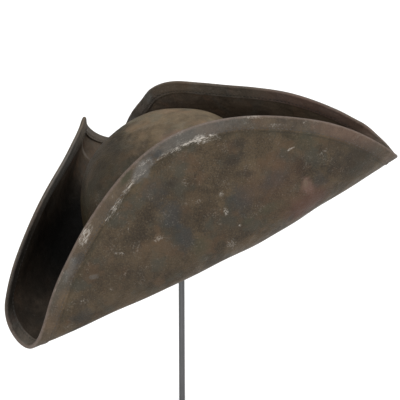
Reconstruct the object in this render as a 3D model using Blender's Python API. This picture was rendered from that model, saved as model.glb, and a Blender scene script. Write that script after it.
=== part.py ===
"""Leather tricorne resting on a plain rod stand.

The hat is modelled level in its own frame, with the head opening's centre at the origin, the front
corner towards -Y and the wearer's left towards +X. An empty then tips it nose down over the stand.
The stand is upright, with the middle of its base's underside at the world origin. Metres, +Z up.
"""

from math import cos, hypot, pi, radians, sin, sqrt
from typing import NamedTuple

import bmesh
import bpy
import numpy as np
from mathutils import Vector
from mathutils.bvhtree import BVHTree

# Hat sizes, in metres
HEAD_LENGTH = 0.196
HEAD_WIDTH = 0.172
CROWN_HEIGHT = 0.113
CROWN_SQUARENESS = 2.8
BRIM_WIDTH = 0.125
LEATHER = 0.0022
HEM_WIDTH = 0.012
HEM_LEATHER = 0.0014

# Directions of the three corners, in degrees anticlockwise from +X
FRONT_CORNER = -91.0
LEFT_CORNER = 35.0
RIGHT_CORNER = 173.0

# Pose of the hat on the stand
NOSE_DOWN_DEG = 24.5
OPENING_HEIGHT = 0.300
ROD_SETBACK = 0.002

# Stand sizes, in metres
ROD_DIAMETER = 0.006
BASE_DIAMETER = 0.200
BASE_THICKNESS = 0.008
BASE_CHAMFER = 0.0015
BOSS_DIAMETER = 0.018
BOSS_HEIGHT = 0.012
BORE_FLOOR = 0.003
CAP_DIAMETER = 0.050
CAP_RIM = 0.004
CAP_DOME_RADIUS = 0.060
SOCKET_DEPTH = 0.005

# Gaps between pieces that touch, and around the rod
SEAM_GAP = 0.0003
ROD_FIT = 0.0003

# How far above the head opening the search for the brim under the crown's foot starts
FOOT_SEARCH = 0.012

# Mesh fineness
STEPS_PER_FLAP = 38
CORNER_CROWDING = 0.6
BRIM_RINGS = 12
HEM_RINGS = 2
CROWN_SIDES = 56
CROWN_RINGS = 10
TURNED_SIDES = 40
DOME_RINGS = 5
SHARP_ANGLE = radians(40)
WELD = 0.00001


class RimRow(NamedTuple):
    """The cut width of the flat brim in one direction, as a share of BRIM_WIDTH."""
    direction_deg: float
    width_share: float


class Fold(NamedTuple):
    """One straight fold. Lengths are shares of BRIM_WIDTH.

    direction_deg is where the flap faces, stand_off how far the fold's middle lies outside the head
    oval, bend how wide the rounded fold is in the flat leather, and twist_deg how much the angle
    grows over one brim width along the fold, towards the anticlockwise side.
    """
    direction_deg: float
    stand_off: float
    bend: float
    angle_deg: float
    twist_deg: float


class Corner(NamedTuple):
    """How a corner is pulled up: the lift at its tip as a share of BRIM_WIDTH, and its half spread."""
    direction_deg: float
    lift: float
    spread_deg: float


RIM = (
    RimRow(FRONT_CORNER, 0.95),
    RimRow(-60, 1.06),
    RimRow(-28, 1.28),
    RimRow(4, 1.21),
    RimRow(LEFT_CORNER, 1.10),
    RimRow(49, 1.04),
    RimRow(74, 1.07),
    RimRow(98, 1.075),
    RimRow(118, 1.155),
    RimRow(136, 1.07),
    RimRow(154, 1.03),
    RimRow(RIGHT_CORNER, 1.03),
    RimRow(197, 0.93),
    RimRow(221, 0.955),
    RimRow(245, 1.01),
)

FOLDS = (
    Fold(direction_deg=-28, stand_off=0.175, bend=0.50, angle_deg=100, twist_deg=-2.5),
    Fold(direction_deg=97, stand_off=0.34, bend=0.33, angle_deg=108, twist_deg=0),
    Fold(direction_deg=209, stand_off=0.32, bend=0.46, angle_deg=116, twist_deg=-7.5),
)

CORNERS = (
    Corner(FRONT_CORNER, lift=0.045, spread_deg=25),
    Corner(LEFT_CORNER, lift=0.13, spread_deg=30),
    Corner(RIGHT_CORNER, lift=0.18, spread_deg=22),
)
LIFT_POWER = 1.5


def rim_share(direction_deg):
    """Width share in any direction: a periodic cubic through RIM, sloped by each row's neighbours."""
    knots = np.array([row.direction_deg for row in RIM])
    values = np.array([row.width_share for row in RIM])
    knots = np.concatenate([knots[-2:] - 360, knots, knots[:2] + 360])
    values = np.concatenate([values[-2:], values, values[:2]])
    slopes = np.gradient(values)
    slopes[1:-1] = (values[2:] - values[:-2]) / (knots[2:] - knots[:-2])
    wrapped = (direction_deg - FRONT_CORNER) % 360 + FRONT_CORNER
    left = np.clip(np.searchsorted(knots, wrapped, side="right") - 1, 1, len(knots) - 3)
    span = knots[left + 1] - knots[left]
    t = (wrapped - knots[left]) / span
    rise = 3 * t**2 - 2 * t**3
    bow = span * (t * (1 - t)**2 * slopes[left] - t**2 * (1 - t) * slopes[left + 1])
    return values[left] * (1 - rise) + values[left + 1] * rise + bow


def oval_radius(direction_deg, half_width, half_length):
    """Distance from the centre to an oval's edge."""
    angle = np.radians(direction_deg)
    return 1 / np.hypot(np.cos(angle) / half_width, np.sin(angle) / half_length)


def opening_radius(direction_deg):
    """Radius of the head opening, inside the leather."""
    return oval_radius(direction_deg, HEAD_WIDTH / 2, HEAD_LENGTH / 2)


def cut_width(direction_deg):
    """Width of the flat brim ring, from the head opening to the rim."""
    return LEATHER + BRIM_WIDTH * rim_share(direction_deg)


def bend_up(fold, x, y):
    """Moves of flat points when one fold is bent.

    The slope grows evenly from 0 to the fold's angle across the bend, so the leather follows an arc
    there and is straight beyond it. Returns the move along the flap's direction and the rise.
    """
    facing = radians(fold.direction_deg)
    outward = x * cos(facing) + y * sin(facing)
    along = y * cos(facing) - x * sin(facing)
    oval_reach = hypot((HEAD_WIDTH / 2 + LEATHER) * cos(facing), (HEAD_LENGTH / 2 + LEATHER) * sin(facing))
    width = fold.bend * BRIM_WIDTH
    start = oval_reach + fold.stand_off * BRIM_WIDTH - width / 2
    angle = np.radians(fold.angle_deg + fold.twist_deg * along / BRIM_WIDTH)
    curvature = angle / width
    inside = np.clip(outward - start, 0, width)
    beyond = np.maximum(outward - start - width, 0)
    shift = np.sin(curvature * inside) / curvature - inside + beyond * (np.cos(angle) - 1)
    rise = (1 - np.cos(curvature * inside)) / curvature + beyond * np.sin(angle)
    return shift, rise


def brim_surface(direction_deg, share):
    """Middle surface of the brim.

    direction_deg has one row per direction and share runs from 0 at the head opening to 1 at the
    rim; they broadcast to one grid. The flat ring is bent along each fold in turn, and the moves
    are added up, so two folds blend into a round gutter at the corner between them.
    """
    radius = opening_radius(direction_deg) + cut_width(direction_deg) * share
    angle = np.radians(direction_deg)
    flat_x = radius * np.cos(angle)
    flat_y = radius * np.sin(angle)
    x, y, z = flat_x.copy(), flat_y.copy(), np.zeros_like(flat_x)
    for fold in FOLDS:
        facing = radians(fold.direction_deg)
        shift, rise = bend_up(fold, flat_x, flat_y)
        x += shift * cos(facing)
        y += shift * sin(facing)
        z += rise
    for corner in CORNERS:
        away = np.abs((direction_deg - corner.direction_deg + 180) % 360 - 180)
        z += corner.lift * BRIM_WIDTH * np.exp(-(away / corner.spread_deg)**2) * share**LIFT_POWER
    return np.stack([x, y, z], axis=-1)


def brim_directions():
    """Directions round the brim, crowded towards the corners where the leather bends most."""
    corners = [FRONT_CORNER, LEFT_CORNER, RIGHT_CORNER, FRONT_CORNER + 360]
    step = np.arange(STEPS_PER_FLAP) / STEPS_PER_FLAP
    step = step - CORNER_CROWDING * np.sin(2 * pi * step) / (2 * pi)
    spans = [start + (end - start) * step for start, end in zip(corners, corners[1:])]
    return np.concatenate(spans)[:, None]


def grid_normals(grid):
    """Unit normals of a grid that closes on itself along its first axis, upwards on a flat brim."""
    around = np.roll(grid, -1, axis=0) - np.roll(grid, 1, axis=0)
    outward = np.gradient(grid, axis=1)
    normals = np.cross(outward, around)
    return normals / np.linalg.norm(normals, axis=-1, keepdims=True)


def strip_faces(around, across):
    """Quads of a closed strip of points, ordered so that they face up on a flat brim."""
    faces = []
    for i in range(around):
        following = (i + 1) % around
        for j in range(across - 1):
            faces.append((i * across + j, i * across + j + 1,
                          following * across + j + 1, following * across + j))
    return faces


def link_piece(name, mesh, material, parent=None):
    """A named object in the scene with one material, shaded smooth but for its sharp edges."""
    mesh.materials.append(material)
    mesh.shade_smooth()
    mesh.set_sharp_from_angle(angle=SHARP_ANGLE)
    piece = bpy.data.objects.new(name, mesh)
    bpy.context.scene.collection.objects.link(piece)
    piece.parent = parent
    return piece


def add_surface(name, points, faces, material, parent):
    """An open surface from points and faces."""
    mesh = bpy.data.meshes.new(name)
    mesh.from_pydata([tuple(point) for point in points], [], faces)
    return link_piece(name, mesh, material, parent)


def give_thickness(piece, thickness, offset):
    """Turns a surface into a leather wall. Offset 0 grows both ways, -1 inwards only."""
    wall = piece.modifiers.new("leather", "SOLIDIFY")
    wall.thickness = thickness
    wall.offset = offset
    wall.use_even_offset = True


def make_material(name, colour, roughness, metallic=0.0):
    """A plain Principled material."""
    material = bpy.data.materials.new(name)
    material.use_nodes = True
    shader = material.node_tree.nodes["Principled BSDF"]
    shader.inputs["Base Color"].default_value = (*colour, 1)
    shader.inputs["Roughness"].default_value = roughness
    shader.inputs["Metallic"].default_value = metallic
    return material


def brim_grid():
    """Middle surface of the whole brim, as a grid of points: directions by rings.

    Even rings run from the head opening to the hem's inner edge, and HEM_RINGS more to the rim.
    """
    directions = brim_directions()
    hem_start = 1 - HEM_WIDTH / cut_width(directions)
    inner = hem_start * np.linspace(0, 1, BRIM_RINGS + 1)[None, :-1]
    hem = hem_start + (1 - hem_start) * np.linspace(0, 1, HEM_RINGS + 1)[None]
    return brim_surface(directions, np.concatenate([inner, hem], axis=1))


def add_brim(material, parent):
    """The brim: one leather ring with its three flaps turned up."""
    grid = brim_grid()
    around, across = grid.shape[:2]
    brim = add_surface("brim", grid.reshape(-1, 3), strip_faces(around, across), material, parent)
    give_thickness(brim, LEATHER, offset=0)
    return brim


def add_hem(material, parent):
    """The turned-over edge: a band along the rim, on the face that the flaps turn inwards."""
    grid = brim_grid()
    grid += grid_normals(grid) * (LEATHER / 2 + SEAM_GAP + HEM_LEATHER / 2)
    grid = grid[:, -HEM_RINGS - 1:]
    around, across = grid.shape[:2]
    hem = add_surface("rim_hem", grid.reshape(-1, 3), strip_faces(around, across), material, parent)
    give_thickness(hem, HEM_LEATHER, offset=0)
    return hem


def crown_foot(brim, turn):
    """Height of the crown's lower edge at each angle, one seam gap above the brim's upper face.

    A flap's bend can start under the crown, so the brim isn't level there. Rays go straight down to
    it from the crown's outer side and from just outside the head opening, and the higher hit counts.
    """
    bpy.context.view_layer.update()
    leather_face = BVHTree.FromObject(brim, bpy.context.evaluated_depsgraph_get())
    feet = []
    for angle in turn:
        heights = []
        for wall in (LEATHER, SEAM_GAP):
            x = (HEAD_WIDTH / 2 + wall) * cos(angle)
            y = (HEAD_LENGTH / 2 + wall) * sin(angle)
            start = Vector((x, y, FOOT_SEARCH))
            heights.append(leather_face.ray_cast(start, Vector((0, 0, -1)))[0].z)
        feet.append(max(heights) + SEAM_GAP)
    return np.array(feet)[:, None]


def add_crown(material, parent, brim):
    """The crown: a squarish dome standing on the brim round the head opening.

    Each upright section is a superellipse: width falls as cos(rise) and height grows as sin(rise),
    both to the power 2 / CROWN_SQUARENESS. The last ring closes on one point at the top.
    """
    turn = np.arange(CROWN_SIDES) * (2 * pi / CROWN_SIDES)
    foot = crown_foot(brim, turn)
    turn = turn[:, None]
    rise = (np.arange(CROWN_RINGS) * (pi / 2 / CROWN_RINGS))[None]
    power = 2 / CROWN_SQUARENESS
    reach = np.cos(rise)**power
    height = foot + (CROWN_HEIGHT - foot) * np.sin(rise)**power
    x = (HEAD_WIDTH / 2 + LEATHER) * reach * np.cos(turn)
    y = (HEAD_LENGTH / 2 + LEATHER) * reach * np.sin(turn)
    points = np.stack([x, y, height], axis=-1).reshape(-1, 3)
    points = np.vstack([points, [0, 0, CROWN_HEIGHT]])
    faces = [tuple(reversed(face)) for face in strip_faces(CROWN_SIDES, CROWN_RINGS)]
    last, top = CROWN_RINGS - 1, len(points) - 1
    for i in range(CROWN_SIDES):
        following = (i + 1) % CROWN_SIDES
        faces.append((i * CROWN_RINGS + last, following * CROWN_RINGS + last, top))
    crown = add_surface("crown", points, faces, material, parent)
    give_thickness(crown, LEATHER, offset=-1)
    return crown


def add_turned(name, profile, material):
    """A turned solid: a profile of (radius, height) points, from axis to axis, spun round Z."""
    bm = bmesh.new()
    verts = [bm.verts.new((radius, 0, height)) for radius, height in profile]
    edges = [bm.edges.new(pair) for pair in zip(verts, verts[1:])]
    bmesh.ops.spin(bm, geom=verts + edges, cent=(0, 0, 0), axis=(0, 0, 1), angle=2 * pi,
                   steps=TURNED_SIDES, use_merge=True)
    bmesh.ops.remove_doubles(bm, verts=bm.verts, dist=WELD)
    bmesh.ops.recalc_face_normals(bm, faces=bm.faces)
    mesh = bpy.data.meshes.new(name)
    bm.to_mesh(mesh)
    bm.free()
    return link_piece(name, mesh, material)


def dome_drop(radius):
    """How far the cap's round top lies below its middle at a radius."""
    return CAP_DOME_RADIUS - sqrt(CAP_DOME_RADIUS**2 - radius**2)


def room_over_axis(crown):
    """Height at which the cap's top would just touch the crown's inside.

    From points all over the cap's dome, with its middle at the floor, a ray goes straight up to the
    crown. The shortest of them is how far the cap can rise.
    """
    bpy.context.view_layer.update()
    inside = BVHTree.FromObject(crown, bpy.context.evaluated_depsgraph_get())
    to_local = crown.matrix_world.inverted()
    upward = (to_local.to_3x3() @ Vector((0, 0, 1))).normalized()
    room = []
    for ring in range(DOME_RINGS + 1):
        radius = CAP_DIAMETER / 2 * ring / DOME_RINGS
        for side in range(TURNED_SIDES):
            angle = 2 * pi * side / TURNED_SIDES
            start = Vector((radius * cos(angle), radius * sin(angle), -dome_drop(radius)))
            hit = inside.ray_cast(to_local @ start, upward)
            room.append(hit[3])
    return min(room)


def add_stand(metal, crown):
    """The stand: a disc with a boss, a rod in the boss, and a round cap under the crown."""
    cap_top = room_over_axis(crown) - SEAM_GAP
    cap_bottom = cap_top - dome_drop(CAP_DIAMETER / 2) - CAP_RIM
    socket_top = cap_bottom + SOCKET_DEPTH
    bore = ROD_DIAMETER / 2 + ROD_FIT
    boss_top = BASE_THICKNESS + BOSS_HEIGHT

    add_turned("stand_base", [
        (0, 0),
        (BASE_DIAMETER / 2, 0),
        (BASE_DIAMETER / 2, BASE_THICKNESS - BASE_CHAMFER),
        (BASE_DIAMETER / 2 - BASE_CHAMFER, BASE_THICKNESS),
        (BOSS_DIAMETER / 2, BASE_THICKNESS),
        (BOSS_DIAMETER / 2, boss_top),
        (bore, boss_top),
        (bore, BORE_FLOOR),
        (0, BORE_FLOOR),
    ], metal)

    add_turned("stand_rod", [
        (0, BORE_FLOOR + SEAM_GAP),
        (ROD_DIAMETER / 2, BORE_FLOOR + SEAM_GAP),
        (ROD_DIAMETER / 2, socket_top - SEAM_GAP),
        (0, socket_top - SEAM_GAP),
    ], metal)

    dome = [CAP_DIAMETER / 2 * (DOME_RINGS - ring) / DOME_RINGS for ring in range(DOME_RINGS + 1)]
    add_turned("stand_cap", [
        (0, socket_top),
        (bore, socket_top),
        (bore, cap_bottom),
        (CAP_DIAMETER / 2, cap_bottom),
        *[(radius, cap_top - dome_drop(radius)) for radius in dome],
    ], metal)


def main():
    """Builds the hat on its tilted frame and then the stand that reaches up to it."""
    for old in list(bpy.data.objects):
        bpy.data.objects.remove(old, do_unlink=True)

    outer_leather = make_material("worn brown leather", (0.085, 0.066, 0.048), 0.6)
    hem_leather = make_material("dark brown leather", (0.055, 0.043, 0.033), 0.65)
    metal = make_material("dark grey metal", (0.12, 0.12, 0.125), 0.45, metallic=0.8)

    hat = bpy.data.objects.new("hat_frame", None)
    bpy.context.scene.collection.objects.link(hat)
    hat.location = (0, -ROD_SETBACK, OPENING_HEIGHT)
    hat.rotation_euler = (radians(NOSE_DOWN_DEG), 0, 0)

    brim = add_brim(outer_leather, hat)
    add_hem(hem_leather, hat)
    crown = add_crown(outer_leather, hat, brim)
    add_stand(metal, crown)


main()
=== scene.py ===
"""Finishes of a worn leather tricorne on a plain rod stand.

The hat is worked out level in its own frame, with the head opening's centre at the origin, the front
corner towards -Y and the wearer's left towards +X, and is then tipped nose down over the stand. The
brim is drawn in flat hide coordinates, where each point still lies as it did before the flaps were
turned up, so grain, stains and wear follow the leather round its bends. Metres, +Z up.
"""

import logging
from dataclasses import dataclass, replace
from enum import Enum
from functools import partial
from math import cos, hypot, pi, radians, sin
from typing import Callable, Optional, Sequence, Union

import bpy
import numpy as np
from mathutils import Matrix, Vector


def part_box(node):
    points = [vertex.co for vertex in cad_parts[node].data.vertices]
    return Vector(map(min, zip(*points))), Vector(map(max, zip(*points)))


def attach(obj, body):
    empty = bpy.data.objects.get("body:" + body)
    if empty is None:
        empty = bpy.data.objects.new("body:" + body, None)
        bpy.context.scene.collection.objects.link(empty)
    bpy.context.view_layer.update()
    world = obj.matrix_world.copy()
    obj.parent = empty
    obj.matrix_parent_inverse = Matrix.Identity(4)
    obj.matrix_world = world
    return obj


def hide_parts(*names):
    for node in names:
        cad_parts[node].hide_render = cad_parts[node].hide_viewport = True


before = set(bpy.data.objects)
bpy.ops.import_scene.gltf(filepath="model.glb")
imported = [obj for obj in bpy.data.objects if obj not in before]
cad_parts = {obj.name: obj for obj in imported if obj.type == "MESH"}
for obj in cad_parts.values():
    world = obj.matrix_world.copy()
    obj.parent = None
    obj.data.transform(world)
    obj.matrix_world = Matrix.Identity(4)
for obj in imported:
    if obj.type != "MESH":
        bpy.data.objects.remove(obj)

log = logging.getLogger("tricorne")

BODY = "root"
SEAM_GAP = 0.0112

Value = Union[bpy.types.NodeSocket, float, Sequence[float]]
Colour = tuple[float, float, float]


class Slot(Enum):
    """Material slots of the record."""

    CROWN = "crown_leather"
    BRIM = "brim_leather"
    HEM = "hem_leather"
    METAL = "stand_metal"


class Flap(Enum):
    """The three flaps, each with the direction that it faces, in degrees anticlockwise from +X."""

    NEAR = -28.0
    BACK = 97.0
    FAR = 209.0


# Shapes.


@dataclass(frozen=True)
class RimRow:
    """Cut width of the flat brim in one direction, as a share of the brim's width."""

    direction_deg: float
    width_share: float


@dataclass(frozen=True)
class Fold:
    """One straight fold, with its lengths as shares of the brim's width."""

    direction_deg: float
    stand_off: float
    bend: float
    angle_deg: float
    twist_deg: float


@dataclass(frozen=True)
class Swell:
    """A change of shape that is greatest in one direction and fades away to both sides."""

    direction_deg: float
    spread_deg: float
    amount: float

    def at(self, direction_deg: np.ndarray) -> np.ndarray:
        """The change in any direction: the amount times a bell curve of the angle in between."""
        away = (direction_deg - self.direction_deg + 180) % 360 - 180
        return self.amount * bell(away, 0, self.spread_deg)


@dataclass(frozen=True)
class Bulge:
    """A soft bulge of the near flap's fold, placed along it from the middle of the hat."""

    along: float
    spread: float
    swell: float


@dataclass(frozen=True)
class Waves:
    """A seeded sum of smooth waves, for the unevenness of soft leather."""

    seed: int
    longest: float
    shortest: float
    height: float
    count: int = 26

    def height_at(self, place: np.ndarray) -> np.ndarray:
        """Adds cosines of random direction and phase, each as high as its wavelength allows.

        Args:
            place: Points, with two or three coordinates in the last axis.

        Returns:
            One height per point, mostly within plus and minus the height of the waves.
        """
        rng = np.random.default_rng(self.seed)
        lengths = self.longest * (self.shortest / self.longest) ** rng.random(self.count)
        headings = rng.normal(size=(self.count, place.shape[-1]))
        headings /= np.linalg.norm(headings, axis=1, keepdims=True)
        phases = rng.random(self.count) * 2 * pi
        turns = place @ (headings * (2 * pi / lengths)[:, None]).T + phases
        weights = lengths / lengths.sum()
        return self.height * np.sqrt(self.count) * (np.cos(turns) @ weights)


def smooth(value: np.ndarray, low: float, high: float) -> np.ndarray:
    """Eases from 0 at low to 1 at high, as three squares less two cubes."""
    t = np.clip((value - low) / (high - low), 0, 1)
    return t * t * (3 - 2 * t)


def bell(value: np.ndarray, middle: float, spread: float) -> np.ndarray:
    """A bell curve: 1 at the middle, and 1/e at one spread away."""
    return np.exp(-(((value - middle) / spread) ** 2))


def unit(vectors: np.ndarray) -> np.ndarray:
    """Vectors of length one."""
    return vectors / np.linalg.norm(vectors, axis=-1, keepdims=True)


def turned_to(facing_deg: float, x: np.ndarray, y: np.ndarray) -> tuple[np.ndarray, np.ndarray]:
    """Flat coordinates seen from a flap: the lengths outward, the way it faces, and along it."""
    facing = radians(facing_deg)
    return x * cos(facing) + y * sin(facing), y * cos(facing) - x * sin(facing)


@dataclass(frozen=True)
class HatShape:
    """Sizes of the hat, and the surfaces that follow from them."""

    head_length: float = 0.196
    head_width: float = 0.172
    crown_height: float = 0.1130
    crown_squareness: float = 2.9
    brim_width: float = 0.125
    leather: float = 0.0022
    hem_width: float = 0.0138
    hem_leather: float = 0.0014
    seam_gap: float = 0.0003
    nose_down_deg: float = 24.5
    opening_height: float = 0.300
    rod_setback: float = 0.002
    lift_power: float = 1.5
    rim: tuple[RimRow, ...] = (
        RimRow(-91, 0.95), RimRow(-66, 1.018), RimRow(-54, 1.093), RimRow(-28, 1.28),
        RimRow(4, 1.21), RimRow(22, 1.152), RimRow(35, 1.122), RimRow(42, 1.082),
        RimRow(49, 1.036), RimRow(55, 1.038), RimRow(62, 1.066), RimRow(74, 1.088),
        RimRow(85, 1.062), RimRow(93, 1.054), RimRow(101, 1.086), RimRow(110, 1.150),
        RimRow(118, 1.150), RimRow(126, 1.100), RimRow(135, 1.076), RimRow(142, 1.062),
        RimRow(152, 1.020), RimRow(163, 1.008), RimRow(173, 1.030), RimRow(182, 0.978),
        RimRow(190, 0.942), RimRow(198, 0.928), RimRow(221, 0.955), RimRow(245, 1.01),
    )
    folds: tuple[Fold, ...] = (
        Fold(Flap.NEAR.value, stand_off=0.175, bend=0.50, angle_deg=100, twist_deg=-2.5),
        Fold(Flap.BACK.value, stand_off=0.34, bend=0.33, angle_deg=108, twist_deg=0),
        Fold(Flap.FAR.value, stand_off=0.32, bend=0.46, angle_deg=116, twist_deg=-7.5),
    )
    # Lift at each corner's tip, as a share of the brim's width
    corners: tuple[Swell, ...] = (
        Swell(-91, spread_deg=25, amount=0.045),
        Swell(35, spread_deg=30, amount=0.13),
        Swell(173, spread_deg=22, amount=0.18),
    )
    # Where the leather inside the rim swells inwards, so that the rim turns out like a lip
    flares: tuple[Swell, ...] = (
        Swell(104, spread_deg=46, amount=0.0036),
        Swell(181, spread_deg=17, amount=0.0036),
    )
    flare_full: float = 0.015
    flare_start: float = 0.024
    flare_end: float = 0.060
    # Where the rim leans inwards, fading out down the flap
    leans: tuple[Swell, ...] = (
        Swell(183, spread_deg=9, amount=0.0024),
        Swell(237, spread_deg=12, amount=0.0012),
        Swell(257, spread_deg=8, amount=0.0010),
    )
    lean_end: float = 0.070
    bulges: tuple[Bulge, ...] = (
        Bulge(-0.045, spread=0.045, swell=0.0018),
        Bulge(0.042, spread=0.030, swell=0.0024),
        Bulge(0.106, spread=0.020, swell=-0.0013),
    )
    bulge_outward: float = 0.104
    bulge_width: float = 0.030
    # The crease in the spout of the wearer's right corner, and where it starts and ends from the rim
    spout_crease: Swell = Swell(173, spread_deg=2.5, amount=0.0011)
    crease_start: tuple[float, float] = (0.001, 0.008)
    crease_end: tuple[float, float] = (0.055, 0.020)
    dents: Waves = Waves(seed=5, longest=0.15, shortest=0.05, height=0.0006)
    dent_free: float = 0.018
    rim_free: tuple[float, float] = (0.004, 0.032)

    def rim_share(self, direction_deg: np.ndarray) -> np.ndarray:
        """Width share in any direction: a periodic cubic through the rim's rows.

        Args:
            direction_deg: Directions in degrees.

        Returns:
            The share in each direction, with slopes taken from each row's neighbours.
        """
        knots = np.array([row.direction_deg for row in self.rim])
        values = np.array([row.width_share for row in self.rim])
        knots = np.concatenate([knots[-2:] - 360, knots, knots[:2] + 360])
        values = np.concatenate([values[-2:], values, values[:2]])
        slopes = np.gradient(values)
        slopes[1:-1] = (values[2:] - values[:-2]) / (knots[2:] - knots[:-2])
        first = self.rim[0].direction_deg
        wrapped = (direction_deg - first) % 360 + first
        left = np.clip(np.searchsorted(knots, wrapped, side="right") - 1, 1, len(knots) - 3)
        span = knots[left + 1] - knots[left]
        t = (wrapped - knots[left]) / span
        rise = 3 * t**2 - 2 * t**3
        bow = span * (t * (1 - t) ** 2 * slopes[left] - t**2 * (1 - t) * slopes[left + 1])
        return values[left] * (1 - rise) + values[left + 1] * rise + bow

    def opening_radius(self, direction_deg: np.ndarray) -> np.ndarray:
        """Radius of the oval head opening.

        Args:
            direction_deg: Directions in degrees.

        Returns:
            The radius in each direction.
        """
        angle = np.radians(direction_deg)
        across = np.cos(angle) / (self.head_width / 2)
        along = np.sin(angle) / (self.head_length / 2)
        return 1 / np.hypot(across, along)

    def cut_width(self, direction_deg: np.ndarray) -> np.ndarray:
        """Width of the flat brim from the head opening to the rim."""
        return self.leather + self.brim_width * self.rim_share(direction_deg)

    def flat_place(self, direction_deg: np.ndarray, share: np.ndarray) -> np.ndarray:
        """Where a point of the brim lies in the flat hide: along its direction, by its share.

        Args:
            direction_deg: Directions in degrees.
            share: 0 at the head opening and 1 at the rim.

        Returns:
            Two coordinates in the last axis.
        """
        radius = self.opening_radius(direction_deg) + self.cut_width(direction_deg) * share
        angle = np.radians(direction_deg)
        return np.stack([radius * np.cos(angle), radius * np.sin(angle)], axis=-1)

    def bend_up(self, fold: Fold, x: np.ndarray, y: np.ndarray) -> tuple[np.ndarray, np.ndarray]:
        """Moves of flat points when one fold is bent.

        The slope grows evenly from nothing to the fold's angle across the bend, so the leather is an
        arc there and straight beyond it.

        Args:
            fold: The fold.
            x: Flat coordinates across the hat.
            y: Flat coordinates along the hat.

        Returns:
            The move towards the direction that the flap faces, and the rise.
        """
        facing = radians(fold.direction_deg)
        outward, along = turned_to(fold.direction_deg, x, y)
        half_width = self.head_width / 2 + self.leather
        half_length = self.head_length / 2 + self.leather
        oval_reach = hypot(half_width * cos(facing), half_length * sin(facing))
        width = fold.bend * self.brim_width
        start = oval_reach + fold.stand_off * self.brim_width - width / 2
        angle = np.radians(fold.angle_deg + fold.twist_deg * along / self.brim_width)
        curvature = angle / width
        inside = np.clip(outward - start, 0, width)
        beyond = np.maximum(outward - start - width, 0)
        shift = np.sin(curvature * inside) / curvature - inside + beyond * (np.cos(angle) - 1)
        rise = (1 - np.cos(curvature * inside)) / curvature + beyond * np.sin(angle)
        return shift, rise

    def even_surface(self, direction_deg: np.ndarray, share: np.ndarray) -> np.ndarray:
        """Middle surface of the brim before any dents.

        The flat ring is bent along each fold in turn and the moves are added up, and each corner is
        then lifted by a bell curve of direction times a power of the share.

        Args:
            direction_deg: Directions in degrees.
            share: 0 at the head opening and 1 at the rim, broadcast with the directions.

        Returns:
            Points in the hat's own frame.
        """
        flat = self.flat_place(direction_deg, share)
        flat_x, flat_y = flat[..., 0], flat[..., 1]
        x, y, z = flat_x.copy(), flat_y.copy(), np.zeros_like(flat_x)
        for fold in self.folds:
            shift, rise = self.bend_up(fold, flat_x, flat_y)
            x += shift * cos(radians(fold.direction_deg))
            y += shift * sin(radians(fold.direction_deg))
            z += rise
        lifted = np.maximum(share, 0) ** self.lift_power
        for corner in self.corners:
            z += corner.at(direction_deg) * self.brim_width * lifted
        return np.stack([x, y, z], axis=-1)

    def surface(self, direction_deg: np.ndarray, share: np.ndarray) -> np.ndarray:
        """Middle surface of the brim with its dents, bulges, flared rim and the crease in its spout.

        The dents fade out towards the head opening and the rim. A flare grows from nothing at the
        rim to its full swell and fades out again further in. A bulge is a bell curve both ways.

        Args:
            direction_deg: Directions in degrees.
            share: 0 at the head opening and 1 at the rim, broadcast with the directions.

        Returns:
            Points in the hat's own frame.
        """
        points, _, normals = self.axes(self.even_surface, direction_deg, share)
        flat = self.flat_place(direction_deg, share)
        from_opening = self.cut_width(direction_deg) * share
        gap = self.cut_width(direction_deg) - from_opening
        fade = smooth(from_opening, 0, self.dent_free) * smooth(gap, *self.rim_free)
        move = self.dents.height_at(flat) * fade
        profile = smooth(gap, 0, self.flare_full) * smooth(gap, self.flare_end, self.flare_start)
        for flare in self.flares:
            move = move + flare.at(direction_deg) * profile
        for lean in self.leans:
            move = move + lean.at(direction_deg) * smooth(gap, self.lean_end, 0)
        outward, along = turned_to(Flap.NEAR.value, flat[..., 0], flat[..., 1])
        folded = bell(outward, self.bulge_outward, self.bulge_width)
        for bulge in self.bulges:
            move = move - bulge.swell * bell(along, bulge.along, bulge.spread) * folded
        crease = smooth(gap, *self.crease_start) * smooth(gap, *self.crease_end)
        move = move + self.spout_crease.at(direction_deg) * crease
        return points + normals * move[..., None]

    def axes(self, surface: Callable, direction_deg: np.ndarray, share: np.ndarray
             ) -> tuple[np.ndarray, np.ndarray, np.ndarray]:
        """Points of a surface with the directions of the leather there, by small steps.

        Args:
            surface: Gives points from directions and shares.
            direction_deg: Directions in degrees.
            share: Shares of the cut width.

        Returns:
            Points, unit vectors towards the rim, and unit normals on the face turned inwards.
        """
        direction_deg, share = np.broadcast_arrays(direction_deg, share)
        step_deg, step_share = 0.02, 0.0005
        points = surface(direction_deg, share)
        outward = surface(direction_deg, share + step_share) - points
        around = surface(direction_deg + step_deg, share) - points
        return points, unit(outward), unit(np.cross(outward, around))

    def on_leather(self, direction_deg: np.ndarray, gap: np.ndarray, height: np.ndarray,
                   past: Union[np.ndarray, float] = 0.0) -> np.ndarray:
        """Points beside the brim's middle surface.

        Args:
            direction_deg: Directions in degrees, one per row.
            gap: Distance from the rim in the flat leather.
            height: Distance from the middle surface, positive on the face turned inwards.
            past: Further distance towards the rim, straight on from the surface.

        Returns:
            Points in the hat's own frame: surface, plus normal times height, plus outward times past.
        """
        share = 1 - gap / self.cut_width(direction_deg)
        points, outward, normals = self.axes(self.surface, direction_deg, share)
        height, past = np.broadcast_arrays(height, past)
        return points + normals * height[..., None] + outward * past[..., None]

    def tip(self, points: np.ndarray) -> np.ndarray:
        """Turns the level hat nose down and lifts it to its place over the stand.

        Args:
            points: Points in the hat's own frame.

        Returns:
            The points in the shared frame.
        """
        angle = radians(self.nose_down_deg)
        x, y, z = points[..., 0], points[..., 1], points[..., 2]
        return np.stack([
            x,
            y * cos(angle) - z * sin(angle) - self.rod_setback,
            y * sin(angle) + z * cos(angle) + self.opening_height,
        ], axis=-1)

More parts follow.
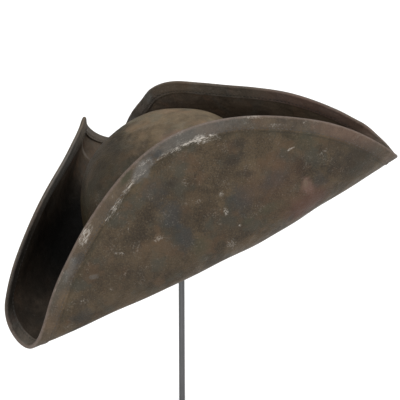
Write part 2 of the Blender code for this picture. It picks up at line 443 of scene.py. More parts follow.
    def directions(self, per_flap: int, crowding: float = 0.6) -> np.ndarray:
        """Directions round the brim, closer together near the corners.

        Args:
            per_flap: Steps from one corner to the next.
            crowding: Share by which the steps shrink at a corner.

        Returns:
            A column of directions in degrees, which closes on its start.
        """
        stops = [corner.direction_deg for corner in self.corners]
        stops.append(stops[0] + 360)
        step = np.arange(per_flap) / per_flap
        step = step - crowding * np.sin(2 * pi * step) / (2 * pi)
        spans = [start + (end - start) * step for start, end in zip(stops, stops[1:])]
        return np.concatenate(spans)[:, None]


# Meshes.


def grid_faces(around: int, across: int, closed: bool) -> np.ndarray:
    """Quads of a grid that closes on itself along its first axis, numbered row by row.

    Args:
        around: Rows of the grid.
        across: Points in each row.
        closed: Whether each row closes on itself too.

    Returns:
        Four point numbers for each quad.
    """
    columns = across if closed else across - 1
    row, column = np.meshgrid(np.arange(around), np.arange(columns), indexing="ij")
    next_row, next_column = (row + 1) % around, (column + 1) % across
    corners = [row * across + column, row * across + next_column,
               next_row * across + next_column, next_row * across + column]
    return np.stack([corner.ravel() for corner in corners], axis=-1)


def make_mesh(name: str, points: np.ndarray, loops: np.ndarray, sizes: np.ndarray) -> bpy.types.Mesh:
    """A smooth mesh from plain arrays.

    Args:
        name: Name of the mesh.
        points: Points, one row each.
        loops: Point numbers of all faces, one after another.
        sizes: Corners of each face.

    Returns:
        The mesh.
    """
    mesh = bpy.data.meshes.new(name)
    mesh.vertices.add(len(points))
    mesh.vertices.foreach_set("co", points.astype(np.float32).ravel())
    mesh.loops.add(len(loops))
    mesh.loops.foreach_set("vertex_index", loops.astype(np.int32))
    mesh.polygons.add(len(sizes))
    starts = np.concatenate([[0], np.cumsum(sizes)[:-1]])
    mesh.polygons.foreach_set("loop_start", starts.astype(np.int32))
    mesh.update(calc_edges=True)
    mesh.validate()
    mesh.shade_smooth()
    return mesh


def quad_mesh(name: str, points: np.ndarray, faces: np.ndarray) -> bpy.types.Mesh:
    """A smooth mesh of quads."""
    return make_mesh(name, points, faces.ravel(), np.full(len(faces), 4))


def poled_mesh(name: str, grid: np.ndarray, first_pole: np.ndarray, last_pole: np.ndarray
               ) -> bpy.types.Mesh:
    """A closed mesh from rings that end in a point at each end.

    Args:
        name: Name of the mesh.
        grid: Points, sides by rings.
        first_pole: The point before the first ring.
        last_pole: The point after the last ring.

    Returns:
        The mesh, with fans of triangles round its poles.
    """
    around, across = grid.shape[:2]
    points = np.vstack([grid.reshape(-1, 3), first_pole, last_pole])
    quads = grid_faces(around, across, closed=False)
    side = np.arange(around)
    next_side = (side + 1) % around
    before, after = np.full(around, around * across), np.full(around, around * across + 1)
    first = np.stack([before, side * across, next_side * across], axis=-1)
    last = np.stack([after, (next_side + 1) * across - 1, (side + 1) * across - 1], axis=-1)
    loops = np.concatenate([quads.ravel(), first.ravel(), last.ravel()])
    sizes = np.concatenate([np.full(len(quads), 4), np.full(2 * around, 3)])
    return make_mesh(name, points, loops, sizes)


def store_value(mesh: bpy.types.Mesh, name: str, values: np.ndarray) -> None:
    """Keeps one number per point as a named attribute."""
    layer = mesh.attributes.new(name, "FLOAT", "POINT")
    layer.data.foreach_set("value", values.astype(np.float32).ravel())


def store_hide_map(mesh: bpy.types.Mesh, flat: np.ndarray) -> None:
    """Keeps flat hide coordinates, in metres, as the mesh's UV map.

    Args:
        mesh: The mesh.
        flat: Two coordinates per point.
    """
    layer = mesh.uv_layers.new(name="hide")
    corner_points = np.zeros(len(mesh.loops), np.int32)
    mesh.loops.foreach_get("vertex_index", corner_points)
    layer.data.foreach_set("uv", flat.reshape(-1, 2)[corner_points].astype(np.float32).ravel())


def link_object(name: str, data: bpy.types.ID) -> bpy.types.Object:
    """Makes an object at the origin and links it to the scene.

    Args:
        name: Name of the object.
        data: Its mesh, light or camera.

    Returns:
        The object.
    """
    thing = bpy.data.objects.new(name, data)
    bpy.context.scene.collection.objects.link(thing)
    return thing


def place_piece(mesh: bpy.types.Mesh, materials: Sequence[bpy.types.Material], slot: Slot,
                nodes: Sequence[str] = ()) -> bpy.types.Object:
    """Links a finished piece to the scene and to the body that it rides on.

    Args:
        mesh: The finished mesh, whose name the piece takes.
        materials: Its materials in order.
        slot: The record's slot that its finish belongs to.
        nodes: Solids that it stands for.

    Returns:
        The piece.
    """
    for material in materials:
        mesh.materials.append(material)
    piece = link_object(mesh.name, mesh)
    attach(piece, BODY)
    if nodes:
        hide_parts(*nodes)
    log.info("%s: %d faces, slot %s", piece.name, len(mesh.polygons), slot.value)
    return piece


def joined(rows: int, *stretches: np.ndarray) -> np.ndarray:
    """Stretches of a section, one after another.

    Args:
        rows: Sections of the piece.
        *stretches: Values along each stretch. One row of them serves all sections.

    Returns:
        The values, sections by places along the section.
    """
    return np.concatenate([np.broadcast_to(part, (rows, part.shape[1])) for part in stretches], axis=1)


# Shader nodes.


class NodeSheet:
    """A node tree being filled. Its methods add a node, join it up and give back its output."""

    def __init__(self, tree: bpy.types.NodeTree) -> None:
        """Starts on a tree.

        Args:
            tree: The tree of a material, a world or a group.
        """
        self.tree = tree

    def add(self, kind: str, inputs: Optional[dict[Union[str, int], Value]] = None,
            **settings: object) -> bpy.types.Node:
        """Adds a node.

        Args:
            kind: Blender's name of the node type, without its first words.
            inputs: Sockets to join and values to set, by name or number.
            **settings: Properties of the node.

        Returns:
            The node.
        """
        node = self.tree.nodes.new("ShaderNode" + kind)
        for name, value in settings.items():
            setattr(node, name, value)
        for name, value in (inputs or {}).items():
            self.feed(node.inputs[name], value)
        return node

    def feed(self, socket: bpy.types.NodeSocket, value: Value) -> None:
        """Joins an output to a socket, or sets the socket's own value."""
        if isinstance(value, bpy.types.NodeSocket):
            self.tree.links.new(value, socket)
        else:
            socket.default_value = value

    def sum_up(self, operation: str, *values: Value, clamp: bool = False) -> bpy.types.NodeSocket:
        """One step of arithmetic on numbers, by Blender's name of the step."""
        node = self.add("Math", dict(enumerate(values)), operation=operation, use_clamp=clamp)
        return node.outputs[0]

    def times(self, value: Value, factor: Value) -> bpy.types.NodeSocket:
        """The product of two numbers."""
        return self.sum_up("MULTIPLY", value, factor)

    def ease(self, value: Value, low: float, high: float, start: float = 0.0, end: float = 1.0
             ) -> bpy.types.NodeSocket:
        """Eases a number from start at low to end at high, and holds it outside."""
        # The smooth step holds by itself, and clamp nodes would ask the renderer to hold too many values
        inputs = {"Value": value, "From Min": low, "From Max": high, "To Min": start, "To Max": end}
        return self.add("MapRange", inputs, interpolation_type="SMOOTHSTEP", clamp=False).outputs[0]

    def beside(self, value: Value, middle: float) -> bpy.types.NodeSocket:
        """How far a number is from a middle value, either way."""
        return self.sum_up("ABSOLUTE", self.sum_up("SUBTRACT", value, middle))

    def tint(self, share: Value, colour: Value, other: Value, mode: str = "MIX") -> bpy.types.NodeSocket:
        """Blends one colour into another.

        Args:
            share: How much of the other colour is taken.
            colour: The colour beneath.
            other: The colour that is laid over it.
            mode: Blender's name of the blend.

        Returns:
            The blended colour.
        """
        node = self.add("Mix", None, data_type="RGBA", blend_type=mode, clamp_factor=True)
        for number, value in ((0, share), (6, colour), (7, other)):
            if isinstance(value, tuple) and len(value) == 3:
                value = (*value, 1.0)
            self.feed(node.inputs[number], value)
        return node.outputs[2]

    def noise(self, place: Value, scale: Value, detail: float = 2.0, roughness: float = 0.5,
              seed: Value = 0.0) -> bpy.types.NodeSocket:
        """Soft noise of a place, from 0 to 1, with about as many lumps per metre as its scale."""
        inputs = {"Vector": place, "W": seed, "Scale": scale, "Detail": detail, "Roughness": roughness}
        return self.add("TexNoise", inputs, noise_dimensions="4D").outputs[0]

    def cell_edges(self, place: Value, scale: Value) -> bpy.types.NodeSocket:
        """Distance from the edges of an uneven net of cells, with as many cells per metre as its scale."""
        inputs = {"Vector": place, "Scale": scale}
        return self.add("TexVoronoi", inputs, feature="DISTANCE_TO_EDGE").outputs["Distance"]

    def group(self, tree: bpy.types.NodeTree, inputs: dict[str, Value]) -> bpy.types.bpy_prop_collection:
        """Places a node group.

        Args:
            tree: The group.
            inputs: What goes into its inputs, by name.

        Returns:
            Its outputs.
        """
        node = self.add("Group", None, node_tree=tree)
        for name, value in inputs.items():
            self.feed(node.inputs[name], value)
        return node.outputs


class MaterialSheet(NodeSheet):
    """The tree of a new material, which has one plain surface shader."""

    def __init__(self, name: str) -> None:
        """Makes the material.

        Args:
            name: Name of the material.
        """
        self.material = bpy.data.materials.new(name)
        self.material.use_nodes = True
        super().__init__(self.material.node_tree)

    def raised(self, height: Value, strength: float, distance: float, **sockets: Value
               ) -> bpy.types.NodeSocket:
        """The normal of a surface that seems to stand out by a height, at most as far as the distance."""
        inputs = {"Strength": strength, "Distance": distance, "Height": height, **sockets}
        return self.add("Bump", inputs).outputs[0]

    def finish(self, sockets: dict[str, Value]) -> bpy.types.Material:
        """Feeds the surface shader.

        Args:
            sockets: What goes into its sockets, by name.

        Returns:
            The finished material.
        """
        shader = self.tree.nodes["Principled BSDF"]
        for name, value in sockets.items():
            self.feed(shader.inputs[name], value)
        return self.material


class GroupSheet(NodeSheet):
    """A node group being made, with its inputs and outputs."""

    def __init__(self, name: str, inputs: dict[str, Union[float, tuple]], outputs: Sequence[str]) -> None:
        """Makes the group and its sockets.

        Args:
            name: Name of the group.
            inputs: Default of each input. Three numbers make a vector.
            outputs: Names of the outputs, which are all numbers.
        """
        super().__init__(bpy.data.node_groups.new(name, "ShaderNodeTree"))
        for label, default in inputs.items():
            kind = "NodeSocketVector" if isinstance(default, tuple) else "NodeSocketFloat"
            socket = self.tree.interface.new_socket(label, in_out="INPUT", socket_type=kind)
            socket.default_value = default
        for label in outputs:
            self.tree.interface.new_socket(label, in_out="OUTPUT", socket_type="NodeSocketFloat")
        self.taken = self.tree.nodes.new("NodeGroupInput").outputs
        self.given = self.tree.nodes.new("NodeGroupOutput").inputs


def grain_group() -> bpy.types.NodeTree:
    """Leather grain: small uneven pebbles, fine fibres and broken crease lines.

    Returns:
        A group with the height of the surface and a mask of its creases.
    """
    sheet = GroupSheet(
        "leather_grain",
        {"Place": (0.0, 0.0, 0.0), "Pebbles": 800.0, "Creases": 0.5, "Seed": 0.0},
        ("Height", "Crease"),
    )
    place, seed = sheet.taken["Place"], sheet.taken["Seed"]
    swirl = sheet.add("TexNoise", {"Vector": place, "W": seed, "Scale": 120.0, "Detail": 2.0},
                      noise_dimensions="4D").outputs["Color"]
    swirl = sheet.add("VectorMath", {0: swirl, 1: (0.5, 0.5, 0.5)}, operation="SUBTRACT").outputs[0]
    reach = (0.004, 0.004, 0.004)
    bent = sheet.add("VectorMath", {0: swirl, 1: reach, 2: place}, operation="MULTIPLY_ADD").outputs[0]
    pebbles = sheet.ease(sheet.cell_edges(bent, sheet.taken["Pebbles"]), 0.0, 0.32)
    fibres = sheet.noise(place, 2300.0, detail=2.0, roughness=0.6, seed=seed)
    lines = sheet.ease(sheet.cell_edges(bent, 150.0), 0.0, 0.07, start=1.0, end=0.0)
    broken = sheet.ease(sheet.noise(place, 90.0, detail=3.0, roughness=0.6, seed=seed), 0.48, 0.66)
    crease = sheet.times(lines, broken)
    crease = sheet.times(crease, sheet.taken["Creases"])
    height = sheet.times(pebbles, 0.45)
    height = sheet.sum_up("MULTIPLY_ADD", fibres, 0.5, height)
    height = sheet.sum_up("SUBTRACT", height, crease)
    sheet.feed(sheet.given["Height"], height)
    sheet.feed(sheet.given["Crease"], crease)
    return sheet.tree


def mottling_group() -> bpy.types.NodeTree:
    """Uneven dye: clouds of a few centimetres, blotches of one, and specks.

    Returns:
        A group with one number for each size, all between 0 and 1.
    """
    sheet = GroupSheet(
        "uneven_dye",
        {"Place": (0.0, 0.0, 0.0), "Seed": 0.0},
        ("Cloud", "Blotch", "Speck"),
    )
    place, seed = sheet.taken["Place"], sheet.taken["Seed"]
    other_seed = sheet.sum_up("ADD", seed, 3.7)
    cloud = sheet.noise(place, 20.0, detail=3.0, roughness=0.55, seed=seed)
    blotch = sheet.noise(place, 62.0, detail=4.0, roughness=0.62, seed=other_seed)
    speck = sheet.noise(place, 620.0, detail=3.0, roughness=0.7, seed=seed)
    for name, spots in (("Cloud", cloud), ("Blotch", blotch), ("Speck", speck)):
        sheet.feed(sheet.given[name], sheet.ease(spots, 0.36, 0.64))
    return sheet.tree


def patch_group() -> bpy.types.NodeTree:
    """One soft oval patch with a ragged edge, for a stain, a rubbed place or a patch of painted light or
    shade.

    The place is moved to the patch's centre, turned and divided by its half sizes. The torn input is
    added to its length, which is then eased from 1 inside to 0 outside.

    Returns:
        A group with the mask of the patch.
    """
    sheet = GroupSheet(
        "ragged_patch",
        {"Place": (0.0, 0.0, 0.0), "Torn": 0.0, "Centre": (0.0, 0.0, 0.0),
         "Half Sizes": (0.01, 0.01, 0.01), "Turn": (0.0, 0.0, 0.0), "Ragged": 0.8},
        ("Mask",),
    )
    local = sheet.add("Mapping", {
        "Vector": sheet.taken["Place"],
        "Location": sheet.taken["Centre"],
        "Rotation": sheet.taken["Turn"],
        "Scale": sheet.taken["Half Sizes"],
    }, vector_type="TEXTURE").outputs[0]
    reach = sheet.add("VectorMath", {0: local}, operation="LENGTH").outputs["Value"]
    reach = sheet.sum_up("MULTIPLY_ADD", sheet.taken["Torn"], sheet.taken["Ragged"], reach)
    sheet.feed(sheet.given["Mask"], sheet.ease(reach, 1.15, 0.35))
    return sheet.tree


def wear_group() -> bpy.types.NodeTree:
    """Wear along the rim: strongest at the edge, fading within a reach, broken up by noise.

    Returns:
        A group with the mask of the worn leather.
    """
    sheet = GroupSheet(
        "rim_wear",
        {"Place": (0.0, 0.0, 0.0), "Gap": 0.0, "Reach": 0.006, "Seed": 0.0},
        ("Mask",),
    )
    near = sheet.sum_up("DIVIDE", sheet.taken["Gap"], sheet.taken["Reach"])
    torn = sheet.noise(sheet.taken["Place"], 160.0, detail=4.0, roughness=0.65, seed=sheet.taken["Seed"])
    near = sheet.sum_up("MULTIPLY_ADD", sheet.sum_up("SUBTRACT", torn, 0.5), 1.6, near)
    sheet.feed(sheet.given["Mask"], sheet.ease(near, 1.1, 0.0))
    return sheet.tree


def scuff_group() -> bpy.types.NodeTree:
    """Fine pale scuffs: specks where the tops of the grain are rubbed, and thin curled scratches.

    A curl is where a softer noise crosses its middle value.

    Returns:
        A group with the mask of the scuffs.
    """
    sheet = GroupSheet(
        "fine_scuffs",
        {"Place": (0.0, 0.0, 0.0), "Amount": 0.5, "Scale": 700.0, "Seed": 0.0},
        ("Mask",),
    )
    place, scale, seed = (sheet.taken[name] for name in ("Place", "Scale", "Seed"))
    grit = sheet.noise(place, scale, detail=3.0, roughness=0.72, seed=seed)
    limit = sheet.sum_up("MULTIPLY_ADD", sheet.taken["Amount"], -0.34, 0.74)
    over = sheet.sum_up("SUBTRACT", grit, limit)
    mask = sheet.ease(over, 0.0, 0.14)
    curl = sheet.noise(place, sheet.times(scale, 0.5), detail=1.5, roughness=0.6, seed=seed)
    curl = sheet.beside(curl, 0.5)
    curl = sheet.times(sheet.ease(curl, 0.030, 0.004), sheet.ease(over, -0.12, 0.06))
    mask = sheet.sum_up("MAXIMUM", mask, curl)
    mask = sheet.times(mask, sheet.ease(sheet.taken["Amount"], 0.0, 0.15))
    sheet.feed(sheet.given["Mask"], mask)
    return sheet.tree


@dataclass(frozen=True)
class Effects:
    """The shared shader node groups, each built once."""

    grain: bpy.types.NodeTree
    mottling: bpy.types.NodeTree
    patch: bpy.types.NodeTree
    wear: bpy.types.NodeTree
    scuffs: bpy.types.NodeTree

    @classmethod
    def build(cls) -> "Effects":
        """Builds all groups."""
        return cls(grain_group(), mottling_group(), patch_group(), wear_group(), scuff_group())


class Tint(Enum):
    """Colours of stains, rubbed places and painted shade, in linear light."""

    # Near black: painted shade for the shadowed inside of the far flap and its hem
    BLACK = (0.0022, 0.0020, 0.0016)
    DARK = (0.017, 0.013, 0.009)
    SLATE = (0.022, 0.024, 0.024)
    MOSS = (0.034, 0.032, 0.017)
    RUST = (0.066, 0.026, 0.018)
    TAN = (0.090, 0.058, 0.030)
    PINK = (0.140, 0.080, 0.062)
    STEEL = (0.100, 0.098, 0.092)
    SAND = (0.115, 0.088, 0.058)
    PALE = (0.360, 0.330, 0.290)


@dataclass(frozen=True)
class Clouds:
    """Soft uneven places: noise that is eased from the least below one limit to the most above the other."""

    scale: float
    low: float
    high: float
    seed: float
    least: float = 0.0
    most: float = 1.0
    detail: float = 3.0
    roughness: float = 0.6

    def mask(self, sheet: NodeSheet, place: Value, seed: float = 0.0) -> bpy.types.NodeSocket:
        """Adds the clouds to a material. The given seed is added to their own."""
        noise = sheet.noise(place, self.scale, self.detail, self.roughness, seed + self.seed)
        return sheet.ease(noise, self.low, self.high, self.least, self.most)


class HideSheet(MaterialSheet):
    """The tree of a material in layers, with the places, the masks and the colour that they share."""

    def __init__(self, name: str, effects: Effects, flat: bool) -> None:
        """Makes the material and its places.

        Args:
            name: Name of the material.
            effects: The shared groups.
            flat: Whether its noise is read in the flat hide, and not in space.
        """
        super().__init__(name)
        self.effects = effects
        self.hide = self.add("UVMap", None, uv_map="hide").outputs[0]
        self.place = self.hide if flat else self.add("TexCoord").outputs["Object"]
        self.gap: Value = 0.0
        self.zone: Value = 0.0
        self.torn: Value = 0.0
        self.colour: Value = (0.0, 0.0, 0.0)

    def lay(self, share: Value, colour: Value, mode: str = "MIX") -> None:
        """Lays a share of a colour over the colour so far, with one of Blender's blends."""
        self.colour = self.tint(share, self.colour, colour, mode)


@dataclass(frozen=True)
class StainOrPaintedLight:
    """A stain, a rubbed place or a patch of painted light or shade, at a given place. Along and outward are
    flat lengths from the middle of the hat.

    On the brim, outward runs the way its flap faces and along runs anticlockwise.
    """

    tint: Tint
    along: float
    outward: float
    half_length: float
    half_width: float
    strength: float
    turn_deg: float = 0.0
    flap: Flap = Flap.NEAR
    ragged: float = 2.2
    on_band: bool = False

    def mask(self, sheet: HideSheet) -> bpy.types.NodeSocket:
        """Adds the patch to a material.

        Args:
            sheet: The material's tree.

        Returns:
            The mask, as high as the patch is strong.
        """
        facing = radians(self.flap.value)
        centre = (
            self.outward * cos(facing) - self.along * sin(facing),
            self.outward * sin(facing) + self.along * cos(facing),
            0.0,
        )
        patch = sheet.group(sheet.effects.patch, {
            "Place": sheet.hide,
            "Torn": sheet.torn,
            "Centre": centre,
            "Half Sizes": (self.half_length, self.half_width, 1.0),
            "Turn": (0.0, 0.0, facing + radians(90 - self.turn_deg)),
            "Ragged": self.ragged,
        })[0]
        return sheet.times(patch, self.strength)


# Pale patches, put down like a stain: rubbed places, and the painted highlight on the spout's crease
RubOrHighlight = partial(StainOrPaintedLight, Tint.PALE)


def add_masks(sheet: HideSheet, patches: Sequence[StainOrPaintedLight], start: Value) -> bpy.types.NodeSocket:
    """Adds up the masks of several patches, and holds the sum at 1.

    Args:
        sheet: The material's tree.
        patches: The patches.
        start: A number or a mask to begin with.

    Returns:
        The sum.
    """
    total = start
    for stain in patches:
        total = sheet.sum_up("ADD", total, stain.mask(sheet))
    return sheet.sum_up("MINIMUM", total, 1.0)


@dataclass(frozen=True)
class RimMarks:
    """Where the marks over the hem's edge lie, in metres.

    A pair holds the two limits between which a mark comes or goes. They are measured from the rim,
    those of the zone and the line from the ridge, and the sides' from the middle of the hat.
    """

    ridge_gap: float = 0.0124
    ridge_spread: float = 0.0022
    zone_end: tuple[float, float] = (0.0008, -0.0020)
    strip_start: tuple[float, float] = (0.0125, 0.0138)
    strip_end: tuple[float, float] = (0.0215, 0.0145)
    strip_share: float = 0.5
    line_beside: float = 0.0017
    line_end: tuple[float, float] = (0.0011, 0.0002)
    dark_end: tuple[float, float] = (0.0060, 0.0015)
    worn_side: tuple[float, float] = (0.04, 0.11)
    dark_side: tuple[float, float] = (0.10, 0.03)


@dataclass(frozen=True)
class Leather:
    """A leather finish. Colours are in linear light."""

    name: str
    deep: Colour
    light: Colour
    cool: Colour
    warm: Colour
    roughness: float
    gloss: float
    bump: float
    pebbles: float
    creases: float
    seed: float
    worn: Colour = (0.20, 0.18, 0.16)
    wear_reach: float = 0.0022
    wear: float = 0.5
    wear_elsewhere: float = 0.10
    dark_rim: float = 0.0
    band: Colour = (0.10, 0.08, 0.066)
    band_depth: float = 0.0
    scuff: float = 0.25
    scuff_depth: float = 0.20
    scuff_scale: float = 640.0
    rub_scuffing: float = 0.75
    rub_depth: float = 0.42
    clusters: float = 0.35
    ridge: float = 0.0
    seam_shade: float = 0.0
    top_wear_and_light: float = 0.0
    top_edge: float = 0.014
    top_light_heights: tuple[float, float] = (0.388, 0.424)
    top_light_tint: Colour = (3.5, 3.6, 4.2)
    streak_ring: float = 0.22
    streak_stretch: float = 6.0
    streak_scale: float = 250.0
    streak_depth: tuple[float, float] = (0.90, 0.08)
    crease_depth: float = 0.6
    blotch_polish: float = 0.12
    scuff_dulling: float = 0.15
    grain_height: float = 0.0006
    lump_height: float = 0.0025
    lump_share: float = 0.35
    dye_shares: tuple[tuple[str, float], ...] = (("Blotch", 0.34), ("Cloud", 0.32), ("Speck", 0.34))
    cool_cast: Clouds = Clouds(31.0, 0.50, 0.62, seed=11, most=0.70, detail=4.0)
    warm_cast: Clouds = Clouds(38.0, 0.52, 0.64, seed=23, most=0.60)
    line_breaks: Clouds = Clouds(26.0, 0.40, 0.60, seed=7)
    ridge_breaks: Clouds = Clouds(40.0, 0.46, 0.66, seed=5, least=0.10)
    scuff_clusters: Clouds = Clouds(48.0, 0.50, 0.72, seed=31)
    marks: RimMarks = RimMarks()
    patches: tuple[StainOrPaintedLight, ...] = ()
    rubs: tuple[StainOrPaintedLight, ...] = ()
    streaks: tuple[StainOrPaintedLight, ...] = ()
    flat: bool = True

    def lay_dye(self, sheet: HideSheet, dye: dict[str, Value]) -> None:
        """Dyes the hide from deep to light, with cool and warm casts in places.

        Args:
            sheet: The material's tree.
            dye: The cloud, blotch and speck of the uneven dye.
        """
        share: Value = 0.0
        for name, part in self.dye_shares:
            share = sheet.sum_up("MULTIPLY_ADD", dye[name], part, share)
        sheet.colour = sheet.tint(share, self.deep, self.light)
        sheet.lay(self.cool_cast.mask(sheet, sheet.place, self.seed), self.cool)
        sheet.lay(self.warm_cast.mask(sheet, sheet.place, self.seed), self.warm)

    def lay_band(self, sheet: HideSheet) -> None:
        """Lays the lighter band over the hem, with the olive strip and a broken dark line beside the ridge,
        painted shadow of its step.

        Args:
            sheet: The material's tree.
        """
        marks = self.marks
        sheet.gap = sheet.add("Attribute", None, attribute_name="rim_gap").outputs["Fac"]
        sheet.zone = sheet.ease(sheet.gap, *(marks.ridge_gap + end for end in marks.zone_end))
        sheet.lay(sheet.times(sheet.zone, self.band_depth), self.band)
        strip = sheet.ease(sheet.gap, *marks.strip_end, end=marks.strip_share * self.seam_shade)
        strip = sheet.times(strip, sheet.ease(sheet.gap, *marks.strip_start))
        sheet.lay(strip, Tint.MOSS.value)
        # Painted shadow: the broken dark line beside the ridge stands for the shade of the step over the
        # hem's edge
        beside = sheet.beside(sheet.gap, marks.ridge_gap + marks.line_beside)
        line = sheet.ease(beside, *marks.line_end, end=self.seam_shade)
        broken = self.line_breaks.mask(sheet, sheet.place, self.seed)
        sheet.lay(sheet.times(line, broken), self.deep)

    def lay_top_wear_and_light(self, sheet: HideSheet, blotch: Value) -> None:
        """Lightens the top of the crown by height, with an uneven edge: painted light from above, partly worn
        tan.

        Args:
            sheet: The material's tree.
            blotch: The dye's blotches.
        """
        upright = sheet.add("SeparateXYZ", {0: sheet.place}).outputs[2]
        upright = sheet.sum_up("MULTIPLY_ADD", blotch, self.top_edge, upright)
        share = sheet.ease(upright, *self.top_light_heights, end=self.top_wear_and_light)
        sheet.lay(share, self.top_light_tint, "MULTIPLY")

    def ridge_mask(self, sheet: HideSheet) -> bpy.types.NodeSocket:
        """Where the ridge over the hem's edge is rubbed.

        Args:
            sheet: The material's tree.

        Returns:
            The mask, broken up by noise.
        """
        ridge = sheet.ease(sheet.beside(sheet.gap, self.marks.ridge_gap), self.marks.ridge_spread, 0.0)
        patchy = self.ridge_breaks.mask(sheet, sheet.place, self.seed)
        return sheet.times(sheet.times(ridge, patchy), self.ridge)

    def wear_rim(self, sheet: HideSheet) -> None:
        """Wears the rim pale on the near flap's side, and leaves it darker on the other.

        Args:
            sheet: The material's tree.
        """
        marks, facing = self.marks, radians(Flap.NEAR.value)
        worn = sheet.group(sheet.effects.wear, {
            "Place": sheet.place, "Gap": sheet.gap, "Reach": self.wear_reach, "Seed": self.seed,
        })[0]
        towards = sheet.add("VectorMath", {0: sheet.place, 1: (cos(facing), sin(facing), 0.0)},
                            operation="DOT_PRODUCT").outputs["Value"]
        depth = sheet.ease(towards, *marks.worn_side, self.wear_elsewhere, self.wear)
        sheet.lay(sheet.times(worn, depth), self.worn)
        dark = sheet.ease(towards, *marks.dark_side, end=self.dark_rim)
        sheet.lay(sheet.times(dark, sheet.ease(sheet.gap, *marks.dark_end)), self.deep)

    def lay_scuffs(self, sheet: HideSheet, amount: Value, rubbed: Value) -> bpy.types.NodeSocket:
        """Lays the fine pale scuffs, deeper where the leather is rubbed.

        Args:
            sheet: The material's tree.
            amount: How scuffed the leather is.
            rubbed: Where it is rubbed.

        Returns:
            The mask of the scuffs.
        """
        scuff = sheet.group(sheet.effects.scuffs, {
            "Place": sheet.place, "Amount": amount, "Scale": self.scuff_scale, "Seed": self.seed,
        })[0]
        depth = sheet.sum_up("MULTIPLY_ADD", rubbed, self.rub_depth, self.scuff_depth, clamp=True)
        sheet.lay(sheet.times(scuff, depth), Tint.PALE.value)
        return scuff

    def lay_streaks(self, sheet: HideSheet, amount: Value) -> None:
        """Draws pale streaks along the rim.

        Scuffs are read on a ring round the hat, stretched by the distance from the rim, so they come
        out long along the rim and thin across it.

        Args:
            sheet: The material's tree.
            amount: Where the leather is streaked.
        """
        heading = sheet.add("VectorMath", {0: sheet.hide}, operation="NORMALIZE").outputs[0]
        stretched = sheet.add("CombineXYZ", {2: sheet.times(sheet.gap, self.streak_stretch)}).outputs[0]
        ring = sheet.add("VectorMath", {0: heading, 1: (self.streak_ring,) * 3, 2: stretched},
                         operation="MULTIPLY_ADD").outputs[0]
        lines = sheet.group(sheet.effects.scuffs, {
            "Place": ring, "Amount": amount, "Scale": self.streak_scale, "Seed": self.seed,
        })[0]
        depth = sheet.sum_up("MULTIPLY_ADD", amount, *self.streak_depth, clamp=True)
        sheet.lay(sheet.times(lines, depth), Tint.PALE.value)

    def build(self, effects: Effects) -> bpy.types.Material:
        """Makes the material, one layer over another.

        The dye comes first, then the band over the hem or the top lightened by painted light and wear, the
        patches of stain and of painted light and shade, the worn rim, the scuffs, the streaks along the ridge
        and the dark creases of the grain.

        Args:
            effects: The shared groups.

        Returns:
            The material.
        """
        sheet = HideSheet(self.name, effects, self.flat)
        dye = sheet.group(effects.mottling, {"Place": sheet.place, "Seed": self.seed})
        grain = sheet.group(effects.grain, {
            "Place": sheet.place, "Pebbles": self.pebbles, "Creases": self.creases, "Seed": self.seed,
        })
        self.lay_dye(sheet, dye)
        if self.flat:
            self.lay_band(sheet)
        # On the crown, the top is painted lighter by height, as light from above falls, partly worn tan
        if self.top_wear_and_light:
            self.lay_top_wear_and_light(sheet, dye["Blotch"])
        fray = sheet.noise(sheet.place, 115.0, detail=5.0, roughness=0.72, seed=1.3)
        sheet.torn = sheet.sum_up("SUBTRACT", fray, 0.5)
        # Stains, and on some faces painted shade and painted light, as the tables of the finishes say
        for stain in self.patches:
            mask = stain.mask(sheet)
            sheet.lay(sheet.times(mask, sheet.zone) if stain.on_band else mask, stain.tint.value)

        clusters = replace(self.scuff_clusters, least=self.scuff, most=self.scuff + self.clusters)
        scuffed = clusters.mask(sheet, sheet.place, self.seed)
        rubbed = add_masks(sheet, self.rubs, 0.0)
        scuffed = sheet.sum_up("MULTIPLY_ADD", rubbed, self.rub_scuffing, scuffed)
        ridge = self.ridge_mask(sheet) if self.streaks else 0.0
        if self.flat:
            self.wear_rim(sheet)
        scuff = self.lay_scuffs(sheet, scuffed, rubbed)
        if self.streaks:
            self.lay_streaks(sheet, add_masks(sheet, self.streaks, ridge))
        sheet.lay(sheet.times(grain["Crease"], self.crease_depth), self.deep, "MULTIPLY")

        matt = self.roughness + self.blotch_polish / 2
        rough = sheet.sum_up("MULTIPLY_ADD", dye["Blotch"], -self.blotch_polish, matt)
        rough = sheet.sum_up("MULTIPLY_ADD", scuff, self.scuff_dulling, rough, clamp=True)
        fine = sheet.raised(grain["Height"], self.bump, self.grain_height)
        uneven = sheet.raised(dye["Blotch"], self.lump_share, self.lump_height, Normal=fine)
        return sheet.finish({
            "Base Color": sheet.colour,
            "Roughness": rough,
            "Normal": uneven,
            "Specular IOR Level": self.gloss,
        })


@dataclass(frozen=True)
class Thread:
    """Waxed sewing thread with fine twisted strands."""

    name: str = "waxed dark thread"
    colour: Colour = (0.035, 0.028, 0.022)
    worn: Colour = (0.16, 0.145, 0.125)
    roughness: float = 0.55
    handled: Clouds = Clouds(60.0, 0.50, 0.66, seed=2, most=0.25)
    rubs: tuple[StainOrPaintedLight, ...] = ()

    def build(self, effects: Effects) -> bpy.types.Material:
        """Makes the material: strands from fine noise, paler where the thread is rubbed.

        Args:
            effects: The shared groups.

        Returns:
            The material.
        """
        sheet = HideSheet(self.name, effects, flat=False)
        rubbed = add_masks(sheet, self.rubs, self.handled.mask(sheet, sheet.place))
        strands = sheet.noise(sheet.place, 2600.0, detail=2.0, roughness=0.6, seed=4.0)
        colour = sheet.tint(rubbed, self.colour, self.worn)
        colour = sheet.tint(sheet.ease(strands, 0.35, 0.65, end=0.4), colour, self.colour)
        rough = sheet.sum_up("MULTIPLY_ADD", strands, 0.2, self.roughness)
        bump = sheet.raised(strands, 0.5, 0.0002)
        return sheet.finish({"Base Color": colour, "Roughness": rough, "Normal": bump})


